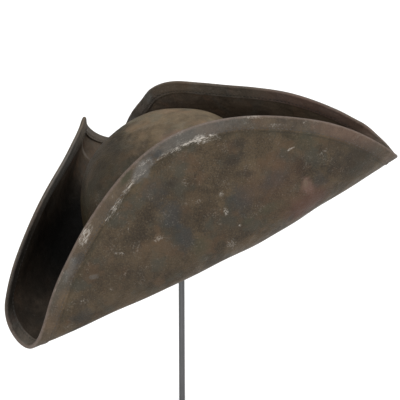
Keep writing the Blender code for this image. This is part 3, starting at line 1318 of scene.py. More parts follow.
@dataclass(frozen=True)
class PaintedMetal:
    """Satin dark grey metal with faint handling marks."""

    name: str
    colour: Colour
    pale: Colour
    metallic: float = 0.35
    roughness: float = 0.42
    handled: Clouds = Clouds(24.0, 0.40, 0.66, seed=8, detail=4.0)

    def build(self) -> bpy.types.Material:
        """Makes the material: a slow change of tone, fine lines along the length, and soft smudges.

        Returns:
            The material.
        """
        sheet = MaterialSheet(self.name)
        place = sheet.add("TexCoord").outputs["Object"]
        drawn = sheet.add("Mapping", {"Vector": place, "Scale": (1.0, 1.0, 0.02)}).outputs[0]
        lines = sheet.noise(drawn, 2400.0, detail=2.0, roughness=0.6, seed=1.0)
        smudge = self.handled.mask(sheet, place)
        colour = sheet.tint(sheet.times(smudge, 0.5), self.colour, self.pale)
        colour = sheet.tint(sheet.ease(lines, 0.35, 0.65, end=0.25), colour, self.pale)
        rough = sheet.sum_up("MULTIPLY_ADD", smudge, 0.14, self.roughness)
        bump = sheet.raised(lines, 0.25, 0.0001)
        return sheet.finish({
            "Base Color": colour, "Roughness": rough, "Normal": bump, "Metallic": self.metallic,
        })


# Pieces.


@dataclass(frozen=True)
class Ripple:
    """A ridge or a groove that runs along the rim."""

    gap: float
    spread: float
    height: float

    def at(self, gap: np.ndarray) -> np.ndarray:
        """Height at any distance from the rim: a bell curve across the ripple."""
        return self.height * bell(gap, self.gap, self.spread)


@dataclass
class Brim:
    """The brim: one leather ring with three flaps turned up and a rolled rim."""

    shape: HatShape
    outer: Leather
    inner: Leather
    per_flap: int = 214
    lip_end: float = 0.0060
    lip_sink: float = 0.0004
    lip_space: float = 0.0006
    edge_share: float = 0.9
    # The ridge over the hem's edge, the stitches' groove and the dip beyond the ridge
    ripples: tuple[Ripple, ...] = (
        Ripple(0.0126, spread=0.0015, height=0.00055),
        Ripple(SEAM_GAP, spread=0.0007, height=-0.00030),
        Ripple(0.0160, spread=0.0020, height=-0.00030),
    )
    fine_zone: float = 0.021
    wide_steps: int = 45
    fine_steps: int = 32
    roll_steps: int = 14
    lip_steps: int = 9
    inner_steps: int = 44
    edge_steps: int = 6

    def mesh(self) -> bpy.types.Mesh:
        """Builds the closed ring.

        Each section runs from the head opening along the outer face to the rim, round the rolled
        rim in a half circle, over the lip that lies on the hem, back along the inner face and round
        the edge at the opening.

        Returns:
            The mesh, with its hide map, its distance from the rim, and its three materials' places.
        """
        shape = self.shape
        directions = shape.directions(self.per_flap)
        around, width = len(directions), shape.cut_width(directions)
        half = shape.leather / 2
        middle = (shape.seam_gap + shape.hem_leather) / 2
        roll = half + middle
        edge_round = half * self.edge_share
        edge = width - edge_round
        inner_start = self.lip_end + self.lip_space
        wide = np.linspace(0, 1, self.wide_steps)[None, :-1]
        fine = np.linspace(0, 1, self.fine_steps)[None]
        turn = np.linspace(-pi / 2, pi / 2, self.roll_steps)[None, 1:]
        lip = np.linspace(0, 1, self.lip_steps)[None, 1:]
        inner = np.linspace(0, 1, self.inner_steps)[None]
        edge_turn = np.linspace(pi / 2, -pi / 2, self.edge_steps)[None, 1:-1]

        outer_gap = joined(around, edge + (self.fine_zone - edge) * wide,
                           self.fine_zone + (roll - self.fine_zone) * fine)
        relief = sum(ripple.at(outer_gap) for ripple in self.ripples)
        gap = joined(around, outer_gap, np.full(turn.shape, roll), roll + (self.lip_end - roll) * lip,
                     inner_start + (edge - inner_start) * inner, edge + edge_round * np.cos(edge_turn))
        height = joined(around, -half - relief, middle + roll * np.sin(turn),
                        middle + roll - self.lip_sink * smooth(lip, 0, 1), np.full(inner.shape, half),
                        half * np.sin(edge_turn))
        outer_end = outer_gap.shape[1]
        roll_end = outer_end + turn.shape[1]
        past = np.zeros_like(gap)
        past[:, outer_end:roll_end] = roll * np.cos(turn)
        points = shape.tip(shape.on_leather(directions, gap, height, past))

        faces = grid_faces(*gap.shape, closed=True)[:, ::-1]
        mesh = quad_mesh("brim_leather_ring", points.reshape(-1, 3), faces)
        real_gap = np.maximum(gap - past, 0)
        store_hide_map(mesh, shape.flat_place(directions, 1 - real_gap / width))
        store_value(mesh, "rim_gap", real_gap)
        roll_crest = outer_end + turn.shape[1] // 2
        inner_first = roll_end + lip.shape[1] - 1
        inner_last = inner_first + inner.shape[1]
        column = np.tile(np.arange(gap.shape[1]), around)
        place = np.where((column >= roll_crest) & (column < inner_first), 2, 0)
        place = np.where((column >= inner_first) & (column < inner_last), 1, place)
        mesh.polygons.foreach_set("material_index", place.astype(np.int32))
        return mesh

    def dress(self, effects: Effects, rim_leather: bpy.types.Material) -> bpy.types.Object:
        """Builds the brim and gives it its outer and inner leather, and the hem's on its rolled rim."""
        materials = (self.outer.build(effects), self.inner.build(effects), rim_leather)
        return place_piece(self.mesh(), materials, Slot.BRIM, ("brim",))


@dataclass
class Hem:
    """The edge of the brim, turned over on to the inner face and stitched down."""

    shape: HatShape
    per_flap: int = 214
    start: float = 0.0022
    puff: float = 0.00026
    pressed: float = 0.00006
    groove: Ripple = Ripple(SEAM_GAP, spread=0.0007, height=-0.0003)
    edge_round: float = 0.0007
    top_steps: int = 26
    edge_steps: int = 6

    def mesh(self) -> bpy.types.Mesh:
        """Builds the closed band.

        Its upper face comes out from under the rolled rim, swells a little like an arch, dips at the
        stitches, and turns down in a quarter circle at its cut edge.

        Returns:
            The mesh, with its hide map and its distance from the rim.
        """
        shape = self.shape
        directions = shape.directions(self.per_flap)
        width = shape.cut_width(directions)
        low = shape.leather / 2 + shape.seam_gap
        top = low + shape.hem_leather - self.pressed
        start, end = self.start, shape.hem_width
        top_gap = start + (end - self.edge_round - start) * np.linspace(0, 1, self.top_steps)[None]
        arch = np.sin(pi * (top_gap - start) / (end - start))
        top_height = top + self.puff * arch + self.groove.at(top_gap)
        quarter = np.linspace(0, pi / 2, self.edge_steps)[None, 1:]
        edge_height = top_height[:, -1:] - self.edge_round * (1 - np.cos(quarter))
        under_gap = np.array([[end, (end + start) / 2, start]])
        gap = joined(len(directions), top_gap, end - self.edge_round * (1 - np.sin(quarter)), under_gap)
        height = joined(len(directions), top_height, edge_height, np.full(under_gap.shape, low))
        points = shape.tip(shape.on_leather(directions, gap, height))

        mesh = quad_mesh("rim_hem_band", points.reshape(-1, 3), grid_faces(*gap.shape, closed=True))
        store_hide_map(mesh, shape.flat_place(directions, 1 - gap / width))
        store_value(mesh, "rim_gap", gap)
        return mesh

    def dress(self, leather: bpy.types.Material) -> bpy.types.Object:
        """Builds the band and gives it its leather."""
        return place_piece(self.mesh(), (leather,), Slot.HEM, ("rim_hem",))


@dataclass
class StitchRow:
    """A row of short thread stitches along the rim, on one face of the brim."""

    name: str
    shape: HatShape
    finish: Thread
    height: float
    inward: bool
    gap: float = SEAM_GAP
    pitch: float = 0.0042
    length: float = 0.0034
    thickness: float = 0.00075
    end_share: float = 0.45
    bow: float = 0.7
    uneven_lean: float = 0.05
    uneven_size: float = 0.06
    measuring_steps: int = 900
    sides: int = 6
    rings: int = 5
    seed: int = 3

    def centres(self) -> np.ndarray:
        """Places the stitches at even steps of length along the row.

        Returns:
            A column of directions in degrees.
        """
        dense = self.shape.directions(self.measuring_steps)[:, 0]
        dense = np.append(dense, dense[0] + 360)[:, None]
        line = self.shape.on_leather(dense, np.full_like(dense, self.gap), np.zeros_like(dense))[:, 0]
        run = np.concatenate([[0], np.cumsum(np.linalg.norm(np.diff(line, axis=0), axis=1))])
        count = int(run[-1] / self.pitch)
        return np.interp(np.arange(count) * run[-1] / count, run, dense[:, 0])[:, None]

    def mesh(self) -> bpy.types.Mesh:
        """Builds all stitches at once.

        Each stitch is a tube of a few sides along the row. Its radius follows a half ellipse along
        its length, and it bows up like an arch, so both ends go down into the leather.

        Returns:
            The mesh of all the stitches.
        """
        shape = self.shape
        rng = np.random.default_rng(self.seed)
        directions = self.centres()
        count = len(directions)
        share = 1 - self.gap / shape.cut_width(directions)
        middle, outward, normals = (part[:, 0] for part in shape.axes(shape.surface, directions, share))
        normals = normals * (1.0 if self.inward else -1.0)
        middle = middle + normals * self.height
        lean = rng.normal(0, self.uneven_lean, count)[:, None]
        lengthways = unit(unit(np.cross(normals, outward)) + outward * lean)
        across = unit(np.cross(lengthways, normals))
        size = 1 + rng.normal(0, self.uneven_size, count)[:, None]

        along = np.linspace(-1, 1, self.rings)[None, :]
        arch = 1 - along**2
        radius = self.thickness / 2 * (self.end_share + (1 - self.end_share) * np.sqrt(arch))
        turn = np.arange(self.sides) * 2 * pi / self.sides
        spine = (middle[:, None] + lengthways[:, None] * (along * size * self.length / 2)[..., None]
                 + normals[:, None] * ((arch - 1) * self.thickness * self.bow)[..., None])
        ring = (across[:, None, None] * np.cos(turn)[None, None, :, None]
                + normals[:, None, None] * np.sin(turn)[None, None, :, None])
        points = shape.tip(spine[:, :, None] + ring * (radius * size)[..., None, None])

        # The last row of quads would join the last ring to the first, so it is left out
        quads = grid_faces(self.rings, self.sides, closed=True)[:-self.sides]
        start_cap = np.arange(self.sides)[::-1]
        end_cap = (self.rings - 1) * self.sides + np.arange(self.sides)
        per_stitch = self.rings * self.sides
        offsets = (np.arange(count) * per_stitch)[:, None]
        loops = [(faces.ravel()[None] + offsets).ravel() for faces in (quads, np.stack([start_cap, end_cap]))]
        sizes = np.concatenate([np.full(len(quads) * count, 4), np.full(2 * count, self.sides)])
        mesh = make_mesh(self.name, points.reshape(-1, 3), np.concatenate(loops), sizes)
        store_hide_map(mesh, np.repeat(shape.flat_place(directions, share)[:, 0], per_stitch, axis=0))
        return mesh

    def dress(self, effects: Effects) -> bpy.types.Object:
        """Builds the row and gives it its thread."""
        return place_piece(self.mesh(), (self.finish.build(effects),), Slot.HEM)


@dataclass
class Crown:
    """The crown: a squarish leather dome, hollow and open below, standing on the brim."""

    shape: HatShape
    finish: Leather
    lining_side: Leather
    sides: int = 256
    rings: int = 84
    crowding: float = 0.25
    foot_edge: float = 0.0003
    foot_flare: float = 0.0022
    flare_height: float = 0.003
    lean: tuple[float, float] = (0.0030, -0.0010)
    lean_power: float = 1.5
    base_swell: float = 0.0030
    # Heights between which the swell over the foot comes and goes, and the dents come
    swell_start: tuple[float, float] = (0.0, 0.012)
    swell_end: tuple[float, float] = (0.055, 0.015)
    dents: Waves = Waves(seed=17, longest=0.11, shortest=0.035, height=0.0011)
    dent_start: tuple[float, float] = (0.004, 0.035)
    dent_centre: tuple[float, float, float] = (0.0, 0.0, 0.030)

    def foot(self, turn: np.ndarray) -> np.ndarray:
        """Height of the lower edge: one seam gap above the brim under the wall's two sides.

        Args:
            turn: Angles of the oval's parameter.

        Returns:
            The height at each angle.
        """
        shape = self.shape
        heights = []
        for wall in (self.foot_edge, shape.leather, shape.leather + self.foot_flare):
            x = (shape.head_width / 2 + wall) * np.cos(turn)
            y = (shape.head_length / 2 + wall) * np.sin(turn)
            direction = np.degrees(np.arctan2(y, x))
            radius = np.hypot(x, y)
            share = (radius - shape.opening_radius(direction)) / shape.cut_width(direction)
            heights.append(shape.surface(direction, share)[..., 2])
        return np.max(heights, axis=0) + shape.leather / 2 + shape.seam_gap

    def wall(self, turn: np.ndarray, rise: np.ndarray, inset: float) -> np.ndarray:
        """One face of the dome.

        Each upright section is a superellipse: its reach falls as the cosine of the rise and its
        height grows as the sine, both to the power of two over the squareness. The dome leans a little
        as it rises, and swells a little above its foot.

        Args:
            turn: Angles round the oval, one per row.
            rise: Angles from the foot to the top, one per column.
            inset: Distance of this face inside the outer one.

        Returns:
            Points in the hat's own frame.
        """
        shape = self.shape
        foot = self.foot(turn)
        power = 2 / shape.crown_squareness
        reach = np.maximum(np.cos(rise), 0) ** power
        lift = np.sin(rise) ** power
        top = shape.crown_height - inset
        half_width = shape.head_width / 2 + shape.leather - inset
        half_length = shape.head_length / 2 + shape.leather - inset
        height = foot + (top - foot) * lift
        flare = self.foot_flare * np.exp(-(height - foot) / self.flare_height)
        leaning = np.maximum((height - foot) / (shape.crown_height - foot), 0) ** self.lean_power
        x = (half_width * reach + flare) * np.cos(turn) + self.lean[0] * leaning
        y = (half_length * reach + flare) * np.sin(turn) + self.lean[1] * leaning
        points = np.stack([x, y, height], axis=-1)
        away = unit(points - np.array(self.dent_centre))
        dent = self.dents.height_at(points + away * inset) * smooth(height, *self.dent_start)
        swell = self.base_swell * smooth(height, *self.swell_start) * smooth(height, *self.swell_end)
        return points + away * (dent + swell)[..., None]

    def mesh(self) -> bpy.types.Mesh:
        """Builds the closed shell, from the inner pole down, round the foot and up to the outer pole.

        Returns:
            The mesh, with its hide map and its two materials' places.
        """
        shape = self.shape
        turn = (np.arange(self.sides) * (2 * pi / self.sides))[:, None]
        step = np.linspace(0, 1, self.rings)[None, :-1]
        rise = (pi / 2) * (step - self.crowding * np.sin(2 * pi * step) / (2 * pi))
        outer = self.wall(turn, rise, 0.0)
        inner = self.wall(turn, rise, shape.leather)[:, ::-1]
        grid = np.concatenate([inner, outer], axis=1)
        start, upright = np.zeros((1, 1)), np.full((1, 1), pi / 2)
        top = self.wall(start, upright, 0.0)[0, 0]
        under = self.wall(start, upright, shape.leather)[0, 0]
        mesh = poled_mesh("crown_dome", shape.tip(grid), shape.tip(under), shape.tip(top))
        rows = self.rings - 1
        quad_column = np.tile(np.arange(2 * rows - 1), self.sides)
        inside = (quad_column < rows - 1).astype(np.int32)
        fans = np.concatenate([np.ones(self.sides, np.int32), np.zeros(self.sides, np.int32)])
        mesh.polygons.foreach_set("material_index", np.concatenate([inside, fans]))
        poles = np.stack([under, top])
        store_hide_map(mesh, self.flat_place(np.vstack([grid.reshape(-1, 3), poles])))
        return mesh

    def flat_place(self, points: np.ndarray) -> np.ndarray:
        """Lays the dome out flat round its top.

        Args:
            points: Points of the dome, in the hat's own frame.

        Returns:
            Two coordinates for each point: its distance from the top, in its own direction.
        """
        away = points - np.array([*self.lean, self.shape.crown_height])
        sideways = np.maximum(np.hypot(away[:, 0], away[:, 1]), 1e-9)
        reach = np.linalg.norm(away, axis=1)
        return away[:, :2] * (reach / sideways)[:, None]

    def dress(self, effects: Effects) -> bpy.types.Object:
        """Builds the crown and gives it its outer and inner leather."""
        materials = (self.finish.build(effects), self.lining_side.build(effects))
        return place_piece(self.mesh(), materials, Slot.CROWN, ("crown",))


@dataclass
class Stand:
    """The stand: a disc with a boss, a rod and a round cap, turned about the upright axis."""

    finish: PaintedMetal
    rod_finish: PaintedMetal
    sides: int = 128
    disc_thickness: float = 0.008
    base_chamfer: float = 0.0015
    foot_chamfer: float = 0.0006
    edge_round: float = 0.0006
    boss_diameter: float = 0.018
    boss_chamfer: float = 0.0012
    bore_diameter: float = 0.0066
    bore_floor: float = 0.003
    bore_round: float = 0.0003
    rod_paint: float = 0.0002
    rod_round: float = 0.0004
    socket_space: float = 0.0003
    dome_radius: float = 0.060
    dome_steps: int = 16
    sharp_deg: float = 50

    def turned(self, name: str, profile: np.ndarray) -> bpy.types.Mesh:
        """Spins a profile of radius and height about the axis.

        Args:
            name: Name of the mesh.
            profile: Rows of radius and height. The first and the last lie on the axis.

        Returns:
            The closed mesh.
        """
        turn = (np.arange(self.sides) * 2 * pi / self.sides)[:, None]
        radius, height = profile[1:-1, 0][None], profile[1:-1, 1][None]
        grid = np.stack([radius * np.cos(turn), radius * np.sin(turn), height + turn * 0], axis=-1)
        poles = [np.array([0.0, 0.0, end]) for end in (profile[0, 1], profile[-1, 1])]
        mesh = poled_mesh(name, grid, poles[0], poles[1])
        mesh.set_sharp_from_angle(angle=radians(self.sharp_deg))
        return mesh

    def rounded(self, corners: Sequence[tuple[float, float, float]]) -> np.ndarray:
        """A profile with rounded corners.

        Each corner with a radius is cut back by it on both sides and joined by a smooth curve: a
        square blend of the two cut points and the corner.

        Args:
            corners: Radius from the axis, height, and rounding of each corner.

        Returns:
            Rows of radius and height.
        """
        rows = []
        places = np.array(corners)
        for number, (radius, height, rounding) in enumerate(corners):
            here = np.array([radius, height])
            if not rounding:
                rows.append(here[None])
                continue
            before = here + unit(places[number - 1, :2] - here) * rounding
            after = here + unit(places[number + 1, :2] - here) * rounding
            t = np.linspace(0, 1, 5)[:, None]
            rows.append(before * (1 - t) ** 2 + here * 2 * t * (1 - t) + after * t**2)
        return np.vstack(rows)

    def base_profile(self) -> np.ndarray:
        """Outline of the disc with its boss and bore.

        Returns:
            Rows of radius and height.
        """
        disc, _, boss_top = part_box("stand_base")[1]
        boss, bore = self.boss_diameter / 2, self.bore_diameter / 2
        disc_top = self.disc_thickness
        return self.rounded([
            (0, 0, 0),
            (disc - self.foot_chamfer, 0, self.edge_round),
            (disc, self.foot_chamfer, self.edge_round / 2),
            (disc, disc_top - self.base_chamfer, self.edge_round),
            (disc - self.base_chamfer, disc_top, self.edge_round),
            (boss + self.boss_chamfer, disc_top, self.edge_round),
            (boss, disc_top + self.boss_chamfer, self.edge_round),
            (boss, boss_top, self.edge_round),
            (bore, boss_top, self.bore_round),
            (bore, self.bore_floor, self.bore_round),
            (0, self.bore_floor, 0),
        ])

    def rod_profile(self) -> np.ndarray:
        """Outline of the rod, a little thicker than its solid by its paint.

        Returns:
            Rows of radius and height.
        """
        low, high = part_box("stand_rod")
        radius = high.x + self.rod_paint
        return self.rounded([
            (0, low.z, 0),
            (radius, low.z, self.rod_round),
            (radius, high.z, self.rod_round),
            (0, high.z, 0),
        ])

    def cap_profile(self) -> np.ndarray:
        """Outline of the cap: its socket, its rim, and its top as an arc.

        Returns:
            Rows of radius and height.
        """
        low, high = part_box("stand_cap")
        socket_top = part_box("stand_rod")[1].z + self.socket_space
        bore = self.bore_diameter / 2
        angle = np.linspace(1, 0, self.dome_steps) * np.arcsin(high.x / self.dome_radius)
        dome = self.dome_radius * np.stack([np.sin(angle), np.cos(angle) - 1], axis=-1) + [0, high.z]
        rim = self.rounded([
            (0, socket_top, 0),
            (bore, socket_top, 0),
            (bore, low.z, self.bore_round),
            (high.x, low.z, self.edge_round),
            (high.x, float(dome[0, 1]), 0),
        ])
        return np.vstack([rim, dome[1:]])

    def dress(self) -> list[bpy.types.Object]:
        """Builds base, rod and cap over their solids, and gives them their paint.

        Returns:
            The three pieces.
        """
        metal = self.finish.build()
        rod_metal = self.rod_finish.build()
        base = self.turned("stand_disc", self.base_profile())
        shaft = self.turned("stand_shaft", self.rod_profile())
        cap = self.turned("stand_head_rest", self.cap_profile())
        return [
            place_piece(base, (metal,), Slot.METAL, ("stand_base",)),
            place_piece(shaft, (rod_metal,), Slot.METAL, ("stand_rod",)),
            place_piece(cap, (metal,), Slot.METAL, ("stand_cap",)),
        ]


# Studio.


@dataclass(frozen=True)
class BroadLight:
    """An even soft light from one side of the room, as from a very large lit ceiling."""

    name: str
    azimuth_deg: float
    elevation_deg: float
    strength: float
    spread_deg: float
    colour: Colour = (1.0, 1.0, 1.0)

    def build(self) -> bpy.types.Object:
        """Adds the light, coming down from its azimuth and elevation.

        Returns:
            The light.
        """
        data = bpy.data.lights.new(self.name, "SUN")
        data.energy = self.strength
        data.angle = radians(self.spread_deg)
        data.color = self.colour
        light = link_object(self.name, data)
        azimuth, elevation = radians(self.azimuth_deg), radians(self.elevation_deg)
        source = Vector((sin(azimuth) * cos(elevation), -cos(azimuth) * cos(elevation), sin(elevation)))
        light.rotation_euler = (-source).to_track_quat("-Z", "Y").to_euler()
        return light


@dataclass(frozen=True)
class Studio:
    """A plain pale floor, an even white surround, soft lights and the camera."""

    image_width: int = 400
    focal_pixels: float = 1011.0
    sensor: float = 36.0
    azimuth_deg: float = 40.7
    elevation_deg: float = 13.05
    distance: float = 1.051888
    aim_right: float = -0.020776
    aim_up: float = -0.022675
    clip_end: float = 200.0
    floor_size: float = 120.0
    floor_tones: tuple[Colour, Colour] = ((0.92, 0.92, 0.92), (0.94, 0.94, 0.94))
    surround: float = 0.30
    broad_lights: tuple[BroadLight, ...] = (
        BroadLight("ceiling", azimuth_deg=105, elevation_deg=75, strength=3.2, spread_deg=70),
        BroadLight("front", azimuth_deg=36, elevation_deg=14, strength=1.6, spread_deg=30),
    )

    def camera(self, hat: Vector) -> bpy.types.Object:
        """Adds the camera, placed from the hat along the viewing direction of the photograph.

        Args:
            hat: Middle of the head opening.

        Returns:
            The camera.
        """
        azimuth, elevation = radians(self.azimuth_deg), radians(self.elevation_deg)
        right = Vector((cos(azimuth), sin(azimuth), 0))
        forward = Vector((-sin(azimuth) * cos(elevation), cos(azimuth) * cos(elevation), -sin(elevation)))
        up = right.cross(forward)
        data = bpy.data.cameras.new("camera")
        data.sensor_width = self.sensor
        data.lens = self.focal_pixels * self.sensor / self.image_width
        data.clip_end = self.clip_end
        camera = link_object("camera", data)
        place = hat - right * self.aim_right - up * self.aim_up - forward * self.distance
        turn = Matrix((right, up, -forward)).transposed().to_4x4()
        camera.matrix_world = Matrix.Translation(place) @ turn
        bpy.context.scene.camera = camera
        return camera

    def floor(self) -> bpy.types.Object:
        """Adds the pale floor, with a trace of unevenness in its tone.

        Returns:
            The floor.
        """
        half = self.floor_size / 2
        points = np.array([(-half, -half, 0), (half, -half, 0), (half, half, 0), (-half, half, 0)], float)
        mesh = quad_mesh("floor", points, np.array([[0, 1, 2, 3]]))
        sheet = MaterialSheet("pale floor")
        tone = sheet.noise(sheet.add("TexCoord").outputs["Object"], 3.0, detail=3.0)
        mesh.materials.append(sheet.finish({
            "Base Color": sheet.tint(tone, *self.floor_tones),
            "Roughness": sheet.sum_up("MULTIPLY_ADD", tone, 0.1, 0.85),
            "Specular IOR Level": 0.1,
        }))
        floor = link_object("floor", mesh)
        return floor

    def build(self, hat: Vector) -> None:
        """Sets up the surround, the floor, the lights, the camera and the plain view of colours.

        Args:
            hat: Middle of the head opening.
        """
        world = bpy.data.worlds.new("studio")
        world.use_nodes = True
        world.node_tree.nodes["Background"].inputs["Color"].default_value = (1, 1, 1, 1)
        world.node_tree.nodes["Background"].inputs["Strength"].default_value = self.surround
        scene = bpy.context.scene
        scene.world = world
        scene.view_settings.view_transform = "Standard"
        self.floor()
        for light in self.broad_lights:
            light.build()
        self.camera(hat)


# Finishes of this hat.

NEAR_FLAP_STAINS_AND_PAINTED_LIGHT = (
    StainOrPaintedLight(Tint.DARK, -0.100, 0.155, 0.050, 0.040, 0.16, turn_deg=20, ragged=1.0),
    StainOrPaintedLight(Tint.DARK, -0.028, 0.170, 0.016, 0.040, 0.34, turn_deg=-12, ragged=1.6),
    StainOrPaintedLight(Tint.DARK, 0.030, 0.150, 0.036, 0.014, 0.28, ragged=1.8),
    StainOrPaintedLight(Tint.SLATE, -0.036, 0.208, 0.014, 0.014, 0.42),
    StainOrPaintedLight(Tint.SLATE, -0.030, 0.183, 0.012, 0.018, 0.62),
    StainOrPaintedLight(Tint.SLATE, -0.027, 0.156, 0.011, 0.016, 0.62),
    StainOrPaintedLight(Tint.MOSS, -0.016, 0.142, 0.012, 0.010, 0.55),
    StainOrPaintedLight(Tint.DARK, -0.018, 0.210, 0.010, 0.006, 0.45),
    StainOrPaintedLight(Tint.TAN, -0.062, 0.160, 0.022, 0.014, 0.30),
    StainOrPaintedLight(Tint.DARK, -0.132, 0.143, 0.014, 0.008, 0.40),
    StainOrPaintedLight(Tint.SLATE, -0.141, 0.127, 0.014, 0.010, 0.38),
    StainOrPaintedLight(Tint.TAN, -0.149, 0.150, 0.014, 0.006, 0.35, turn_deg=40),
    StainOrPaintedLight(Tint.STEEL, -0.116, 0.160, 0.006, 0.003, 0.35),
    StainOrPaintedLight(Tint.DARK, 0.050, 0.218, 0.010, 0.007, 0.50),
    StainOrPaintedLight(Tint.DARK, 0.041, 0.205, 0.012, 0.006, 0.50),
    StainOrPaintedLight(Tint.DARK, 0.048, 0.188, 0.014, 0.004, 0.40, turn_deg=-25),
    StainOrPaintedLight(Tint.SLATE, 0.036, 0.167, 0.014, 0.018, 0.58),
    StainOrPaintedLight(Tint.TAN, 0.048, 0.172, 0.010, 0.012, 0.22),
    StainOrPaintedLight(Tint.TAN, -0.004, 0.188, 0.012, 0.010, 0.25),
    StainOrPaintedLight(Tint.SLATE, 0.070, 0.169, 0.018, 0.009, 0.40),
    StainOrPaintedLight(Tint.MOSS, 0.112, 0.189, 0.018, 0.010, 0.35, turn_deg=-40),
    StainOrPaintedLight(Tint.MOSS, 0.058, 0.147, 0.013, 0.006, 0.65),
    StainOrPaintedLight(Tint.MOSS, 0.034, 0.145, 0.008, 0.004, 0.50),
    StainOrPaintedLight(Tint.RUST, 0.072, 0.168, 0.042, 0.028, 0.17, ragged=1.4),
    StainOrPaintedLight(Tint.RUST, 0.095, 0.130, 0.030, 0.018, 0.60, ragged=1.2),
    StainOrPaintedLight(Tint.PINK, 0.101, 0.147, 0.008, 0.012, 0.30, ragged=2.6),
    StainOrPaintedLight(Tint.PINK, 0.101, 0.148, 0.005, 0.008, 0.30, ragged=2.6),
    StainOrPaintedLight(Tint.SAND, 0.100, 0.151, 0.003, 0.004, 0.40, ragged=2.6),
    StainOrPaintedLight(Tint.SLATE, 0.114, 0.147, 0.008, 0.010, 0.45),
    StainOrPaintedLight(Tint.DARK, 0.134, 0.150, 0.018, 0.013, 0.42),
    StainOrPaintedLight(Tint.DARK, 0.158, 0.141, 0.024, 0.020, 0.50, turn_deg=-40, ragged=1.2),
    StainOrPaintedLight(Tint.TAN, 0.032, 0.123, 0.014, 0.008, 0.35),
    StainOrPaintedLight(Tint.STEEL, 0.020, 0.246, 0.070, 0.017, 0.40, ragged=2.6, on_band=True),
    StainOrPaintedLight(Tint.STEEL, -0.040, 0.232, 0.016, 0.008, 0.62, turn_deg=22, ragged=2.0),
    StainOrPaintedLight(Tint.SLATE, -0.022, 0.240, 0.007, 0.004, 0.70, turn_deg=14),
    StainOrPaintedLight(Tint.MOSS, -0.055, 0.232, 0.011, 0.004, 0.85, turn_deg=30, ragged=1.2),
    StainOrPaintedLight(Tint.SLATE, -0.123, 0.180, 0.008, 0.005, 0.60, turn_deg=40),
    StainOrPaintedLight(Tint.STEEL, -0.132, 0.176, 0.014, 0.005, 0.40, turn_deg=40),
    StainOrPaintedLight(Tint.PINK, 0.160, 0.176, 0.052, 0.024, 0.32, turn_deg=-42, ragged=0.9, on_band=True),
    StainOrPaintedLight(Tint.DARK, 0.148, 0.160, 0.030, 0.014, 0.40, turn_deg=-38, ragged=1.2),
    # Painted light: these two tan patches lighten the front tip and the bottom of the fold, as light thrown
    # up from the floor would
    StainOrPaintedLight(Tint.TAN, -0.172, 0.122, 0.022, 0.024, 0.42, ragged=1.0),
    StainOrPaintedLight(Tint.TAN, -0.085, 0.112, 0.050, 0.011, 0.28, ragged=1.2),
)

RIDGE_STREAKS = (
    RubOrHighlight(-0.0675, 0.2160, 0.028, 0.0040, 0.54, turn_deg=35, ragged=0.8),
    RubOrHighlight(-0.0460, 0.2290, 0.019, 0.0085, 0.48, turn_deg=25, ragged=1.2),
    RubOrHighlight(-0.0050, 0.2370, 0.034, 0.0034, 0.46, turn_deg=4, ragged=0.8),
    RubOrHighlight(0.0270, 0.2340, 0.021, 0.0060, 0.54, turn_deg=-17, ragged=1.0),
    RubOrHighlight(0.0000, 0.2290, 0.034, 0.0070, 0.34, turn_deg=8, ragged=1.6),
    RubOrHighlight(-0.0800, 0.2020, 0.020, 0.0070, 0.34, turn_deg=38, ragged=1.6),
    RubOrHighlight(0.0700, 0.2450, 0.036, 0.0080, 0.42, turn_deg=-24, ragged=1.2),
    RubOrHighlight(-0.1080, 0.1990, 0.014, 0.0060, 0.55, turn_deg=42, ragged=1.0),
    RubOrHighlight(-0.1420, 0.1700, 0.024, 0.0060, 0.42, turn_deg=42, ragged=1.2),
    RubOrHighlight(0.1500, 0.1850, 0.030, 0.0080, 0.30, turn_deg=-42, ragged=1.2),
    RubOrHighlight(0.0150, 0.2460, 0.085, 0.0130, 0.30, ragged=1.2),
    RubOrHighlight(-0.1050, 0.2040, 0.060, 0.0130, 0.28, turn_deg=38, ragged=1.2),
)

# The first streaks lie over the stitches and rub them too
RUBBED_SEAM_STREAKS = 4

FLAP_RUBS = (
    RubOrHighlight(-0.034, 0.238, 0.008, 0.0016, 0.60, turn_deg=10),
    RubOrHighlight(0.072, 0.234, 0.012, 0.0025, 0.50, turn_deg=-25),
    RubOrHighlight(0.090, 0.217, 0.012, 0.0020, 0.40, turn_deg=-27),
    RubOrHighlight(0.117, 0.206, 0.003, 0.0020, 0.50),
    RubOrHighlight(-0.050, 0.167, 0.005, 0.003, 0.60),
    RubOrHighlight(0.018, 0.163, 0.003, 0.005, 0.70),
    RubOrHighlight(0.019, 0.180, 0.004, 0.003, 0.50),
    RubOrHighlight(0.096, 0.189, 0.006, 0.0012, 0.80),
    RubOrHighlight(0.026, 0.144, 0.002, 0.0015, 0.80),
    RubOrHighlight(-0.087, 0.170, 0.006, 0.002, 0.50, turn_deg=-25),
    RubOrHighlight(-0.071, 0.187, 0.003, 0.002, 0.50),
    RubOrHighlight(-0.008, 0.206, 0.004, 0.005, 0.40),
    RubOrHighlight(-0.002, 0.184, 0.004, 0.003, 0.35),
    RubOrHighlight(-0.106, 0.142, 0.003, 0.002, 0.40),
    RubOrHighlight(-0.089, 0.150, 0.008, 0.003, 0.35, turn_deg=15),
    RubOrHighlight(-0.133, 0.142, 0.006, 0.003, 0.40),
    RubOrHighlight(0.126, 0.170, 0.006, 0.003, 0.40),
    RubOrHighlight(0.013, 0.130, 0.007, 0.007, 0.40),
)

